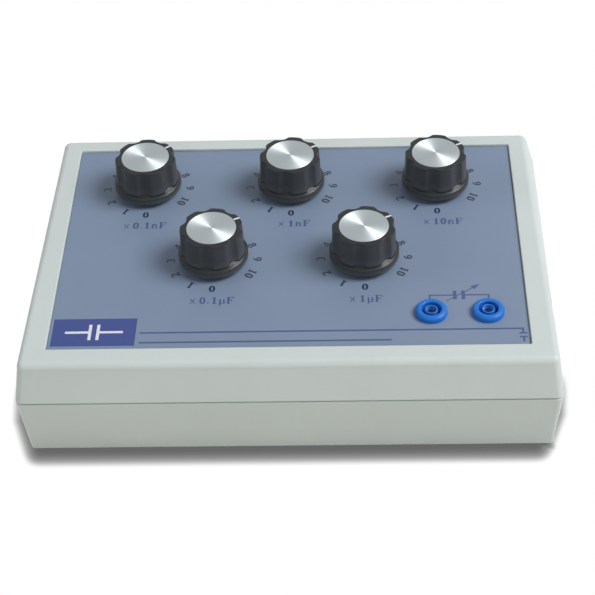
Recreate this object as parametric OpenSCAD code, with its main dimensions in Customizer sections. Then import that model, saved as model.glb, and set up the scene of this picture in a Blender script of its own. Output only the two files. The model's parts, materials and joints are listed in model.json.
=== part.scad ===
// Decade capacitance box: a two-part moulded case with a recessed front panel, five
// rotary decade switches with fluted knobs, and two shrouded 4 mm output sockets.
// Millimetres. The origin is under the middle of the case, on the plane that the feet
// stand on. +X runs to the right along the panel, +Y to the rear and +Z up.

/* [Case] */
// Width of the case at its parting line, where it is widest
case_w = 242; // [232:1:280]
// Depth of the case at its parting line
case_d = 172; // [166:1:200]
// Height of the lower shell
lower_h = 31.5; // [26:0.5:45]
// Height of the upper shell, from the parting line to the top of the rim
upper_h = 18.5; // [16:0.5:30]
// Thickness of the side walls and the floor
wall = 2.5; // [2:0.1:3.5]
// Lean of the upper shell's side walls
upper_draft_deg = 12; // [0:0.5:13]
// Lean of the lower shell's side walls
lower_draft_deg = 6; // [0:0.5:7]
// Radius of the upright corners
corner_r = 3.4; // [3.3:0.1:8]
// Radius of the rounded edge around the top
top_edge_r = 3.2; // [1:0.1:3.3]
// Bevel around the underside
base_bevel = 0.4; // [0.3:0.1:2]
// Bevel on each shell along the parting line
seam_bevel = 0.4; // [0.1:0.1:1]
// Thickness of the tongue that lines up the two shells
tongue_t = 1; // [0.6:0.1:1.2]
// Height of the tongue above the parting line
tongue_h = 1.5; // [0.5:0.1:4]
// Play around the tongue
tongue_clear = 0.15; // [0.05:0.01:0.3]

/* [Feet and case screws] */
// Diameter of a rubber foot
foot_d = 14; // [8:0.5:18]
// How far a foot stands out below the case
foot_h = 2.5; // [1:0.1:8]
// Depth of the seat that a foot is stuck into
foot_seat = 0.8; // [0.3:0.1:1.2]
// Distance of a foot's middle from the widest line of the case, both ways
foot_inset = 25; // [24:0.5:32]
// Distance of a screw boss from the widest line of the case, both ways
boss_inset = 13.5; // [12.5:0.5:14]
// Diameter of a screw boss
boss_d = 10; // [9:0.5:11]
// Thread diameter of a case screw
screw_d = 3; // [2.5:0.1:3.5]
// Length of a case screw under its head
screw_len = 16; // [12:0.5:18]
// Length of thread in the upper boss
screw_grip = 10; // [6:0.5:10.5]
// Head diameter of a case screw
screw_head_d = 5.6; // [5:0.1:6]
// Head height of a case screw
screw_head_h = 2.4; // [2:0.1:3]
// Width of a cross recess blade
cross_w = 0.9; // [0.5:0.1:1.2]
// Depth of the cross recess
cross_depth = 1.4; // [0.6:0.1:1.8]

/* [Panel] */
// Width of the panel plate
panel_w = 213.5; // [206:0.5:216]
// Depth of the panel plate
panel_d = 143.5; // [140:0.5:147]
// Thickness of the panel plate
panel_t = 1; // [0.6:0.1:2]
// How far the panel lies below the rim
panel_drop = 1.2; // [0.3:0.1:3]
// Gap between the panel and the rim around it
panel_gap = 0.25; // [0.1:0.05:0.5]
// How far the panel's middle lies behind the case's middle
panel_shift = 1.75; // [0:0.25:4]
// Thickness of the deck under the panel
deck_t = 2.5; // [1.5:0.1:4]

/* [Dials] */
// Distance between neighbouring dials in a row
dial_pitch = 70; // [64:0.5:74]
// How far the dials' middle lies to the right of the panel's middle
dial_shift = -0.6; // [-2:0.1:2]
// Distance of the rear row from the panel's middle
rear_row_y = 42; // [38:0.25:46]
// Distance between the two rows
row_gap = 54; // [50:0.5:60]
// Direction of the pointers at rest, anticlockwise from +X, at the ninth of the positions
pointer_deg = 30; // [-90:1:270]
// How far each knob has slipped on its shaft
knob_slip = [8, 0, 0, 0, 0]; // [-15:1:15]

/* [Knob] */
// Gap between the knob and the panel
knob_gap = 2.7; // [0.4:0.1:4]
// Height of the knob's moulding
knob_h = 16.8; // [14:0.1:24]
// Diameter of the skirt
skirt_d = 32.4; // [30.5:0.1:38]
// Height of the skirt's upright rim
skirt_rim_h = 3.1; // [0.8:0.1:5]
// Rise of the skirt's sloping top
skirt_rise = 1.2; // [0.5:0.1:3]
// Diameter of the grip over its lobes, at its foot
grip_d = 30.1; // [28:0.1:30.4]
// Lean of the grip's side
grip_draft_deg = 1.5; // [0:0.1:2.5]
// Number of lobes on the grip
lobes = 7; // [5:1:9]
// Depth of a flute between two lobes
flute_depth = 1.5; // [0.5:0.1:1.8]
// Radius of a flute
flute_r = 5; // [3:0.1:8]
// Fall of the top rim from the cap to the edge of the grip
rim_drop = 0.15; // [0.05:0.05:2]
// Width of the lip around the cap
cap_lip = 0.5; // [0.2:0.1:0.8]
// Diameter of the aluminium cap
cap_d = 22.9; // [20:0.1:23.6]
// Thickness of the cap
cap_t = 1; // [0.5:0.1:2]
// How far the cap stands out of its seat
cap_proud = 0.15; // [0.05:0.05:0.4]
// Bevel around the cap
cap_bevel = 0.2; // [0.05:0.05:0.4]
// Width of the pointer's groove
pointer_w = 1; // [0.6:0.1:2]
// Depth of the pointer's groove
pointer_depth = 0.3; // [0.1:0.05:0.6]
// Thickness of the moulding between the bush and the cap
crown_t = 2; // [1:0.1:3]
// Diameter of the hollow under the knob
hollow_d = 19; // [18.5:0.1:22]
// Space above the switch neck in the hollow
hollow_clear = 1.5; // [0.5:0.1:2]
// Diameter of the brass bush
bush_d = 10; // [9:0.1:12]
// Closed end of the bush above the shaft
bush_end_t = 0.8; // [0.4:0.1:2]
// Thread diameter of the set screw
set_screw_d = 3; // [2:0.1:4]
// Length of the set screw
set_screw_len = 6; // [3:0.1:8]
// Height of the set screw above the lower end of the bush
set_screw_rise = 4.5; // [3:0.1:6]
// Size of the set screw's hexagonal key across corners
set_screw_key = 1.7; // [1:0.1:1.8]
// Depth of the set screw's key hole
set_screw_key_depth = 1.5; // [0.5:0.1:2.5]

/* [Switch] */
// Diameter of the shaft
shaft_d = 6; // [5:0.1:6.4]
// Running clearance around the shaft
shaft_clear = 0.04; // [0.02:0.01:0.08]
// Space above the end of the shaft
shaft_end_clear = 0.5; // [0.2:0.1:2]
// Diameter of the threaded neck
neck_d = 10; // [9:0.1:11]
// How far the neck stands out above its nut
neck_over = 1; // [0.3:0.1:2]
// Thickness of the washer under the nut
washer_t = 0.6; // [0.4:0.1:1.2]
// Diameter of the washer
washer_d = 16; // [14:0.5:17]
// Nut size across flats
nut_af = 14; // [13:0.1:15]
// Height of the nut
nut_h = 2.5; // [2:0.1:3]
// Diameter of the switch housing
can_d = 27; // [25:0.5:32]
// Side wall of the housing
can_wall = 1.5; // [1:0.1:2]
// Top wall of the housing
can_top_t = 2; // [1:0.1:3]
// Diameter of the rotor
rotor_d = 20; // [14:0.5:20.5]
// Height of the rotor
rotor_h = 4; // [2:0.1:6]
// End play of the rotor and of the wiper
run_clear = 0.3; // [0.1:0.05:0.6]
// Diameter of the pivot below the rotor
pivot_d = 3; // [2:0.1:4]
// Thickness of the wiper's spring plate
wiper_t = 0.5; // [0.3:0.05:1]
// Diameter of the wiper's ring
wiper_ring_d = 12; // [8:0.5:14]
// Width of the wiper's arm
wiper_arm_w = 3; // [2:0.1:5]
// Height of the wiper's contact foot
wiper_foot_h = 2.9; // [1:0.1:5]
// Diameter of the wiper's contact foot
wiper_foot_d = 1.6; // [1:0.1:2.5]
// Thickness of the wafer that carries the fixed contacts
wafer_t = 2; // [1:0.1:3]
// Contacts around the wafer
contacts = 12; // [12:12:24]
// Diameter of the circle of contacts
contact_circle_d = 20; // [17:0.5:20.5]
// Diameter of a contact pin
pin_d = 1.2; // [0.8:0.1:1.5]
// Length of a contact pin below the board
pin_tail = 1.5; // [0.5:0.1:3]

/* [Board and capacitors] */
// Thickness of the circuit board
board_t = 1.6; // [1:0.1:2.4]
// Gap between the wafers and the board
board_gap = 4; // [2:0.1:6]
// Margin of the board around the outer dials
board_margin = 18; // [16:0.5:19]
// Thickness of the smallest capacitor of a decade
cap_box_t = 4; // [3:0.1:4.5]
// How much thicker each next capacitor is
cap_box_step = 1; // [0:0.1:1.2]
// Length of a capacitor
cap_box_l = 13; // [11:0.5:16]
// Height of the capacitors in the three lower decades
cap_box_h = 9; // [6:0.5:12]
// Height of the capacitors in the two higher decades
cap_box_tall_h = 14; // [9:0.5:16]
// Gap between neighbouring capacitors
cap_box_gap = 1.5; // [0.5:0.1:2]
// Distance between a capacitor's two wires
cap_wire_pitch = 10; // [7.5:0.5:10]
// Diameter of a capacitor's wire
cap_wire_d = 0.8; // [0.5:0.1:1]
// Length of a capacitor's wire above the board
cap_wire_tail = 1; // [0.5:0.1:2]
// Distance of the capacitors from the nearest contact pins
bank_gap = 5; // [2:0.5:6]

/* [Sockets] */
// Distance between the two sockets
socket_pitch = 25.4; // [22:0.1:28]
// Distance of the pair's middle from the panel's middle, to the right
socket_mid_x = 76.7; // [70:0.1:78]
// Distance of the sockets from the panel's middle, to the front
socket_front = 50.25; // [48:0.25:55]
// Diameter of a socket's flange
flange_d = 14.6; // [14:0.1:18]
// Height of the flange
flange_h = 2.9; // [2:0.1:4]
// Rounding of the flange's edge
flange_round = 1.7; // [0.3:0.1:1.8]
// Diameter of the threaded shank
shank_d = 12; // [11:0.1:13]
// Length of the shank below the panel
shank_len = 24; // [22:0.5:26]
// Diameter of the round slot for a plug's shroud
slot_d = 8.8; // [8:0.1:9.6]
// Depth of the slot below the flange's top
slot_depth = 20; // [15:0.5:21]
// Diameter of the core inside the slot
core_d = 6; // [5.9:0.1:6.4]
// How far the core's top lies below the flange's top
core_drop = 0.5; // [0.1:0.1:2]
// Diameter of the plug pin that the contact takes
plug_d = 4; // [3.8:0.1:4]
// Sliding clearance around the plug pin
plug_clear = 0.03; // [0.01:0.01:0.05]
// Clearance of the core's mouth around the plug pin
mouth_clear = 0.2; // [0.1:0.05:0.3]
// Wall of the contact tube
tube_wall = 0.35; // [0.25:0.05:0.4]
// How far the contact lies below the core's top
contact_setback = 1.2; // [1:0.1:5]
// Depth of the contact's bore
contact_depth = 17; // [12:0.5:18]
// Diameter of the contact's tail
tail_d = 2.4; // [1.5:0.1:3]
// Length of the tail below the shank
tail_len = 6; // [3:0.5:8]
// Socket nut size across flats
socket_nut_af = 16; // [15:0.1:18]
// Height of the socket nut
socket_nut_h = 3; // [2:0.1:5]
// Diameter of a lead
lead_d = 2; // [1.2:0.1:2.4]
// Bend radius of a lead
lead_bend_r = 4; // [3:0.5:5]
// Straight run of a lead below its socket
lead_drop = 2; // [1:0.5:3]
// Distance of a lead's end from the edges of the board
lead_inset = 4; // [3:0.5:5]

/* [Fits] */
// Clearance of inserts, threads and pins in their holes
fit_clear = 0.05; // [0.02:0.01:0.1]
// Clearance of parts that pass through a hole
hole_clear = 0.2; // [0.1:0.05:0.4]

/* [Hidden] */
DECADES = 5;

$fn = 96;
// Facets of the rounded corners of the shells
CORNER_FN = 32;
// Steps of a rounded edge's quarter turn
ROUND_STEPS = 8;
// Height of the slices that a shell is drawn over
SLICE = 0.01;
// Overrun of a cut past the face that it opens
CUT = 1;
// Least radius of an inside corner of the shells
INNER_R_MIN = 0.3;

// Heights
base_z = foot_h;
floor_z = base_z + wall;
parting_z = base_z + lower_h;
rim_z = parting_z + upper_h;
panel_z = rim_z - panel_drop;
deck_z = panel_z - panel_t;
deck_under_z = deck_z - deck_t;
can_h = can_top_t + run_clear + rotor_h + wiper_t + wiper_foot_h + run_clear;
can_z = deck_under_z - can_h;
rotor_z = deck_under_z - can_top_t - run_clear - rotor_h;
wafer_z = can_z - wafer_t;
board_z = wafer_z - board_gap - board_t;
neck_z = panel_z + washer_t + nut_h + neck_over;
knob_z = panel_z + knob_gap;
knob_top_z = knob_z + knob_h;
cap_z = knob_top_z + cap_proud - cap_t;
hollow_z = neck_z + hollow_clear;
bush_top_z = cap_z - crown_t;
shaft_bore_top_z = bush_top_z - bush_end_t;
set_screw_z = hollow_z + set_screw_rise;
flange_z = panel_z + flange_h;
core_z = flange_z - core_drop;
contact_top_z = core_z - contact_setback;
contact_floor_z = contact_top_z - contact_depth;
shank_z = panel_z - shank_len;
tail_z = shank_z - tail_len;
screw_seat_z = parting_z - (screw_len - screw_grip);

// Widths that follow the lean of the walls
upper_lean = tan(upper_draft_deg);
lower_lean = tan(lower_draft_deg);
base_w = case_w - 2 * lower_h * lower_lean;
base_d = case_d - 2 * lower_h * lower_lean;
top_w = case_w - 2 * (upper_h - top_edge_r) * upper_lean;
top_d = case_d - 2 * (upper_h - top_edge_r) * upper_lean;
inner_r = max(corner_r - wall, INNER_R_MIN);

// Places
rear_y = panel_shift + rear_row_y;
front_y = rear_y - row_gap;
dials = [
    [dial_shift - dial_pitch, rear_y],
    [dial_shift, rear_y],
    [dial_shift + dial_pitch, rear_y],
    [dial_shift - dial_pitch / 2, front_y],
    [dial_shift + dial_pitch / 2, front_y]];
socket_y = panel_shift - socket_front;
socket_left = [socket_mid_x - socket_pitch / 2, socket_y];
socket_right = [socket_mid_x + socket_pitch / 2, socket_y];
sockets = [socket_left, socket_right];
boss_x = case_w / 2 - boss_inset;
boss_y = case_d / 2 - boss_inset;
foot_x = case_w / 2 - foot_inset;
foot_y = case_d / 2 - foot_inset;
board_left_x = dial_shift - dial_pitch - board_margin;
board_right_x = dial_shift + dial_pitch + board_margin;
board_front_y = front_y - board_margin;
board_rear_y = rear_y + board_margin;
lead_shift = [board_right_x - lead_inset - socket_right.x, board_front_y + lead_inset - socket_y];
contact_d = plug_d + 2 * (plug_clear + tube_wall);
grip_r = grip_d / 2;
grip_top_r = grip_r - (knob_h - rim_drop) * tan(grip_draft_deg);
rim_r = cap_d / 2 + cap_lip;
lobe_step = 360 / lobes;
set_screw_deg = lobe_step * 1.5;
cap_count = 4;
bank_w = cap_count * cap_box_t + cap_box_step * cap_count * (cap_count - 1) / 2
    + (cap_count - 1) * cap_box_gap;
bank_side = contact_circle_d / 2 + bank_gap + bank_w / 2;
bank_front = contact_circle_d / 2 + bank_gap + cap_box_l / 2;
// Middle of each decade's row of capacitors: in front of a rear dial, outside a front dial
banks = [for (p = dials) p.y == rear_y ? p - [0, bank_front] : p + [sign(p.x - dial_shift) * bank_side, 0]];

// Shared shapes

// Four upright corner posts of a rounded rectangle
module corner_posts(w, d, r, z, h) {
    for (sx = [-1, 1], sy = [-1, 1])
        translate([sx * (w / 2 - r), sy * (d / 2 - r), z])
            cylinder(r = r, h = h, $fn = CORNER_FN);
}

// One rounded slice of a shell, inset from its widest outline
module slice(w, d, inset, z) {
    corner_posts(w - 2 * inset, d - 2 * inset, max(corner_r - inset, SLICE), z, SLICE);
}

// Flat rounded rectangle
module rounded_rect(w, d, r) {
    square([w - 2 * r, d], center = true);
    square([w, d - 2 * r], center = true);
    for (sx = [-1, 1], sy = [-1, 1])
        translate([sx * (w / 2 - r), sy * (d / 2 - r)])
            circle(r = r);
}

// Children at each of the four corners
module four(x, y) {
    for (sx = [-1, 1], sy = [-1, 1])
        translate([sx * x, sy * y, 0])
            children();
}

// Upright cylinder between two heights
module rod(d, z0, z1) {
    translate([0, 0, z0])
        cylinder(d = d, h = z1 - z0);
}

// Hexagonal prism between two heights, by its size across flats
module hex(af, z0, z1) {
    translate([0, 0, z0])
        cylinder(d = af / cos(30), h = z1 - z0, $fn = 6);
}

// Children at each dial, or at one dial
module at_dials() {
    for (p = dials)
        translate([p.x, p.y, 0])
            children();
}

module at_dial(k) {
    translate([dials[k - 1].x, dials[k - 1].y, 0])
        children();
}

// Children at one dial, turned to where its knob points
module at_knob(k) {
    at_dial(k)
        rotate([0, 0, pointer_deg + knob_slip[k - 1]])
            children();
}

// Children at each socket
module at_sockets() {
    for (p = sockets)
        translate([p.x, p.y, 0])
            children();
}

// Holes through the panel and the deck
module panel_holes(z0, z1) {
    at_dials()
        rod(neck_d + 2 * hole_clear, z0, z1);
    at_sockets()
        rod(shank_d + 2 * hole_clear, z0, z1);
}

// Case

// Rounded corner of the top edge
module top_corner() {
    rotate_extrude($fn = CORNER_FN)
        polygon(concat(
            [[0, 0], [corner_r, 0]],
            [for (i = [0:ROUND_STEPS])
                let (a = 90 * i / ROUND_STEPS)
                [corner_r - top_edge_r + top_edge_r * cos(a), top_edge_r * sin(a)]],
            [[0, top_edge_r]]));
}

module upper_outside() {
    hull() {
        slice(case_w, case_d, seam_bevel, parting_z);
        slice(case_w, case_d, 0, parting_z + seam_bevel);
        translate([0, 0, rim_z - top_edge_r])
            four(top_w / 2 - corner_r, top_d / 2 - corner_r)
                top_corner();
    }
}

module upper_inside() {
    narrowing = (deck_under_z - parting_z) * upper_lean;
    hull() {
        slice(case_w, case_d, wall, parting_z - CUT);
        slice(case_w, case_d, wall + narrowing, deck_under_z - SLICE);
    }
}

module upper_case() {
    groove = wall - tongue_t - tongue_clear;
    color("#c9d0cd")
        difference() {
            union() {
                difference() {
                    upper_outside();
                    upper_inside();
                }
                four(boss_x, boss_y)
                    rod(boss_d, parting_z, deck_under_z + SLICE);
            }
            translate([0, panel_shift, deck_z + (panel_t + panel_drop + CUT) / 2])
                cube([panel_w + 2 * panel_gap, panel_d + 2 * panel_gap, panel_t + panel_drop + CUT],
                     center = true);
            panel_holes(deck_under_z - CUT, rim_z);
            four(boss_x, boss_y)
                rod(screw_d + 2 * fit_clear, parting_z - CUT, parting_z + screw_grip + CUT);
            translate([0, 0, parting_z - CUT])
                linear_extrude(CUT + tongue_h + tongue_clear)
                    difference() {
                        rounded_rect(case_w - 2 * groove, case_d - 2 * groove, corner_r - groove);
                        rounded_rect(case_w - 2 * wall, case_d - 2 * wall, inner_r);
                    }
        }
}

module lower_outside() {
    hull() {
        slice(base_w, base_d, base_bevel, base_z);
        slice(base_w, base_d, 0, base_z + base_bevel);
        slice(case_w, case_d, 0, parting_z - seam_bevel);
        slice(case_w, case_d, seam_bevel, parting_z - SLICE);
    }
}

module lower_inside() {
    hull() {
        slice(base_w, base_d, wall, floor_z);
        slice(case_w, case_d, wall, parting_z + CUT);
    }
}

module lower_case() {
    tongue_in = wall - tongue_t;
    color("#b9bfba")
        difference() {
            union() {
                difference() {
                    lower_outside();
                    lower_inside();
                }
                four(boss_x, boss_y)
                    rod(boss_d, floor_z - SLICE, parting_z);
                translate([0, 0, parting_z - CUT])
                    linear_extrude(CUT + tongue_h)
                        difference() {
                            rounded_rect(case_w - 2 * tongue_in, case_d - 2 * tongue_in, corner_r - tongue_in);
                            rounded_rect(case_w - 2 * wall, case_d - 2 * wall, inner_r);
                        }
            }
            four(boss_x, boss_y) {
                rod(screw_d + 2 * hole_clear, base_z - CUT, parting_z + CUT);
                rod(screw_head_d + 2 * hole_clear, base_z - CUT, screw_seat_z);
            }
            four(foot_x, foot_y)
                rod(foot_d + 2 * fit_clear, base_z - CUT, base_z + foot_seat);
        }
}

module case_screws() {
    color("silver")
        four(boss_x, boss_y)
            difference() {
                union() {
                    rod(screw_head_d, screw_seat_z - screw_head_h, screw_seat_z);
                    rod(screw_d, screw_seat_z, screw_seat_z + screw_len);
                }
                for (turn = [0, 90])
                    rotate([0, 0, turn])
                        translate([0, 0, screw_seat_z - screw_head_h])
                            cube([screw_d, cross_w, 2 * cross_depth], center = true);
            }
}

module rubber_feet() {
    color("#2b2b2b")
        four(foot_x, foot_y)
            rod(foot_d, 0, base_z + foot_seat);
}

module front_panel() {
    color("#7d8ca7")
        difference() {
            translate([0, panel_shift, deck_z + panel_t / 2])
                cube([panel_w, panel_d, panel_t], center = true);
            panel_holes(deck_z - CUT, panel_z + CUT);
        }
}

// Knob, drawn with its pointer along +X

// Grip with sloping top rim, cut by a flute between each two lobes
module grip() {
    difference() {
        translate([0, 0, knob_z])
            rotate_extrude()
                polygon([
                    [0, 0],
                    [grip_r, 0],
                    [grip_top_r, knob_h - rim_drop],
                    [rim_r, knob_h],
                    [0, knob_h]]);
        for (i = [0:lobes - 1])
            rotate([0, 0, (i + 0.5) * lobe_step])
                translate([grip_r - flute_depth + flute_r, 0, knob_z])
                    rotate([0, -grip_draft_deg, 0])
                        rod(2 * flute_r, -CUT, knob_h + CUT);
    }
}

module skirt() {
    translate([0, 0, knob_z])
        rotate_extrude()
            polygon([
                [0, 0],
                [skirt_d / 2, 0],
                [skirt_d / 2, skirt_rim_h],
                [grip_r - flute_depth, skirt_rim_h + skirt_rise],
                [0, skirt_rim_h + skirt_rise]]);
}

// Groove for the pointer's paint, along the sloping rim of the first lobe
module pointer_groove() {
    slope = atan2(rim_drop, grip_top_r - rim_r);
    translate([rim_r, 0, knob_top_z])
        rotate([0, slope, 0])
            translate([-cap_lip / 2, -pointer_w / 2, -pointer_depth])
                cube([grip_top_r - rim_r + CUT + cap_lip, pointer_w, pointer_depth + CUT]);
}

// Hole along the set screw, from inside the bush outwards
module set_screw_hole(reach) {
    rotate([0, 0, set_screw_deg])
        translate([0, 0, set_screw_z])
            rotate([0, 90, 0])
                cylinder(d = set_screw_d + 2 * fit_clear, h = reach);
}

module knob() {
    color("#323436")
        difference() {
            union() {
                grip();
                skirt();
            }
            rod(hollow_d, knob_z - CUT, hollow_z);
            rod(bush_d + 2 * fit_clear, hollow_z - CUT, bush_top_z);
            rod(cap_d + 2 * fit_clear, cap_z, knob_top_z + CUT);
            set_screw_hole(skirt_d);
            pointer_groove();
        }
}

module knob_cap() {
    color("#c8ccd0")
        translate([0, 0, cap_z])
            rotate_extrude()
                polygon([
                    [0, 0],
                    [cap_d / 2, 0],
                    [cap_d / 2, cap_t - cap_bevel],
                    [cap_d / 2 - cap_bevel, cap_t],
                    [0, cap_t]]);
}

module knob_bush() {
    color("#b5954a")
        difference() {
            rod(bush_d, hollow_z, bush_top_z);
            rod(shaft_d + 2 * shaft_clear, hollow_z - CUT, shaft_bore_top_z);
            set_screw_hole(bush_d);
        }
}

module knob_set_screw() {
    color("#555555")
        rotate([0, 0, set_screw_deg])
            translate([shaft_d / 2 + fit_clear, 0, set_screw_z])
                rotate([0, 90, 0])
                    difference() {
                        cylinder(d = set_screw_d, h = set_screw_len);
                        translate([0, 0, set_screw_len - set_screw_key_depth])
                            cylinder(d = set_screw_key, h = set_screw_key_depth + CUT, $fn = 6);
                    }
}

// Switch

module switch_shaft() {
    color("#c9b27a") {
        rod(shaft_d, rotor_z, shaft_bore_top_z - shaft_end_clear);
        rod(rotor_d, rotor_z, rotor_z + rotor_h);
        rod(pivot_d, wafer_z, rotor_z);
    }
}

// Spring plate under the rotor, with one foot over the contact that is switched on
module switch_wiper() {
    plate_z = rotor_z - wiper_t;
    color("#b5954a")
        difference() {
            union() {
                rod(wiper_ring_d, plate_z, rotor_z);
                translate([0, -wiper_arm_w / 2, plate_z])
                    cube([contact_circle_d / 2 + wiper_foot_d / 2, wiper_arm_w, wiper_t]);
                translate([contact_circle_d / 2, 0, 0])
                    rod(wiper_foot_d, can_z + run_clear, rotor_z);
            }
            rod(pivot_d + 2 * fit_clear, plate_z - CUT, rotor_z + CUT);
        }
}

module switch_housing() {
    color("#d8d8d2")
        difference() {
            union() {
                rod(can_d, can_z, deck_under_z);
                rod(neck_d, deck_under_z - can_top_t, neck_z);
            }
            rod(can_d - 2 * can_wall, can_z - CUT, deck_under_z - can_top_t);
            rod(shaft_d + 2 * shaft_clear, can_z, neck_z + CUT);
        }
}

module switch_nuts() {
    color("silver")
        at_dials()
            difference() {
                hex(nut_af, panel_z + washer_t, panel_z + washer_t + nut_h);
                rod(neck_d + 2 * fit_clear, panel_z, neck_z);
            }
}

module switch_washers() {
    color("silver")
        at_dials()
            difference() {
                rod(washer_d, panel_z, panel_z + washer_t);
                rod(neck_d + 2 * hole_clear, panel_z - CUT, neck_z);
            }
}

// Children at each contact of one switch
module at_contacts() {
    for (i = [0:contacts - 1])
        rotate([0, 0, pointer_deg + i * 360 / contacts])
            translate([contact_circle_d / 2, 0, 0])
                children();
}

module switch_wafers() {
    color("#8a5a32")
        at_dials()
            difference() {
                rod(can_d, wafer_z, can_z);
                rod(pivot_d + 2 * shaft_clear, wafer_z - CUT, can_z + CUT);
                at_contacts()
                    rod(pin_d + 2 * fit_clear, wafer_z - CUT, can_z + CUT);
            }
}

module switch_contacts() {
    color("#d9d2b0")
        at_dials()
            at_contacts()
                rod(pin_d, board_z - pin_tail, can_z);
}

// Circuit board and capacitors

// Children at each capacitor of a decade, given its thickness
module at_capacitors(k) {
    for (i = [0:cap_count - 1]) {
        $box_t = cap_box_t + i * cap_box_step;
        before = i * (cap_box_t + cap_box_gap) + cap_box_step * i * (i - 1) / 2;
        translate([banks[k - 1].x - bank_w / 2 + before + $box_t / 2, banks[k - 1].y, 0])
            children();
    }
}

// Children at each of a capacitor's two wires
module at_cap_wires() {
    for (side = [-1, 1])
        translate([0, side * cap_wire_pitch / 2, 0])
            children();
}

module circuit_board() {
    color("#2f6b45")
        difference() {
            translate([board_left_x, board_front_y, board_z])
                cube([board_right_x - board_left_x, board_rear_y - board_front_y, board_t]);
            at_dials()
                at_contacts()
                    rod(pin_d + 2 * fit_clear, board_z - CUT, board_z + board_t + CUT);
            for (k = [1:DECADES])
                at_capacitors(k)
                    at_cap_wires()
                        rod(cap_wire_d + 2 * fit_clear, board_z - CUT, board_z + board_t + CUT);
        }
}

module capacitors(k) {
    box_h = dials[k - 1].y == rear_y ? cap_box_h : cap_box_tall_h;
    color("#a8442f")
        at_capacitors(k) {
            translate([-$box_t / 2, -cap_box_l / 2, board_z - box_h])
                cube([$box_t, cap_box_l, box_h]);
            at_cap_wires()
                rod(cap_wire_d, board_z - SLICE, board_z + board_t + cap_wire_tail);
        }
}

// Sockets

module flange() {
    r = flange_d / 2;
    translate([0, 0, panel_z])
        rotate_extrude()
            polygon(concat(
                [[0, 0], [r, 0]],
                [for (i = [0:ROUND_STEPS])
                    let (a = 90 * i / ROUND_STEPS)
                    [r - flange_round + flange_round * cos(a), flange_h - flange_round + flange_round * sin(a)]],
                [[0, flange_h]]));
}

module socket_body() {
    color("#2d6ed7")
        difference() {
            union() {
                flange();
                rod(shank_d, shank_z, panel_z);
            }
            difference() {
                rod(slot_d, flange_z - slot_depth, flange_z + CUT);
                rod(core_d, flange_z - slot_depth - CUT, core_z);
            }
            rod(plug_d + 2 * mouth_clear, contact_top_z - CUT, flange_z + CUT);
            rod(contact_d + 2 * fit_clear, contact_floor_z, contact_top_z);
            rod(tail_d + 2 * fit_clear, shank_z - CUT, contact_floor_z + CUT);
        }
}

module socket_contact() {
    color("#d9d2b0")
        difference() {
            union() {
                rod(contact_d, contact_floor_z, contact_top_z);
                rod(tail_d, tail_z, contact_floor_z + SLICE);
            }
            rod(plug_d + 2 * plug_clear, contact_floor_z + tube_wall, contact_top_z + CUT);
        }
}

module socket_nuts() {
    color("silver")
        at_sockets()
            difference() {
                hex(socket_nut_af, deck_under_z - socket_nut_h, deck_under_z);
                rod(shank_d + 2 * fit_clear, deck_under_z - socket_nut_h - CUT, deck_under_z + CUT);
            }
}

// Quarter bend of a lead, from pointing down to pointing along +X
module lead_bend() {
    translate([lead_bend_r, 0, 0])
        rotate([90, 0, 0])
            rotate([0, 0, 180])
                rotate_extrude(angle = 90)
                    translate([lead_bend_r, 0])
                        circle(d = lead_d);
}

// Lead from a socket's tail, down, across and up to the board
module lead(at) {
    run = norm(lead_shift);
    low_z = tail_z - lead_drop;
    translate([at.x, at.y, 0])
        rotate([0, 0, atan2(lead_shift.y, lead_shift.x)]) {
            rod(lead_d, low_z, tail_z);
            translate([0, 0, low_z])
                lead_bend();
            translate([lead_bend_r, 0, low_z - lead_bend_r])
                rotate([0, 90, 0])
                    cylinder(d = lead_d, h = run - 2 * lead_bend_r);
            translate([run, 0, low_z])
                mirror([1, 0, 0])
                    lead_bend();
            translate([run, 0, 0])
                rod(lead_d, low_z, board_z);
        }
}

upper_case();
lower_case();
case_screws();
rubber_feet();
front_panel();
for (k = [1:DECADES]) {
    at_knob(k) knob();
    at_knob(k) knob_cap();
    at_knob(k) knob_bush();
    at_knob(k) knob_set_screw();
    at_dial(k) switch_shaft();
    at_dial(k) rotate([0, 0, pointer_deg]) switch_wiper();
    at_dial(k) switch_housing();
    capacitors(k);
}
switch_nuts();
switch_washers();
switch_wafers();
switch_contacts();
circuit_board();
translate(concat(socket_left, 0)) socket_body();  // socket_body_left
translate(concat(socket_right, 0)) socket_body();  // socket_body_right
translate(concat(socket_left, 0)) socket_contact();  // socket_contact_left
translate(concat(socket_right, 0)) socket_contact();  // socket_contact_right
socket_nuts();
lead(socket_left);  // lead_left
lead(socket_right);  // lead_right
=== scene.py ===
# %% [markdown]
# # A decade capacitance box
# The box gives a laboratory bench any capacitance in small steps. Five rotary switches each add
# capacitors in steps of one decade, and the sum is taken at two shrouded sockets. The construction
# model comes packed as a frame of solids in metres. This lesson dresses that frame: shells with
# softened edges, a printed panel, fluted knobs with spun caps, and the light of the photograph.

import json
from math import atan2, cos, hypot, pi, radians, sin, tan

import bmesh
import bpy
from mathutils import Matrix, Vector

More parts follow.
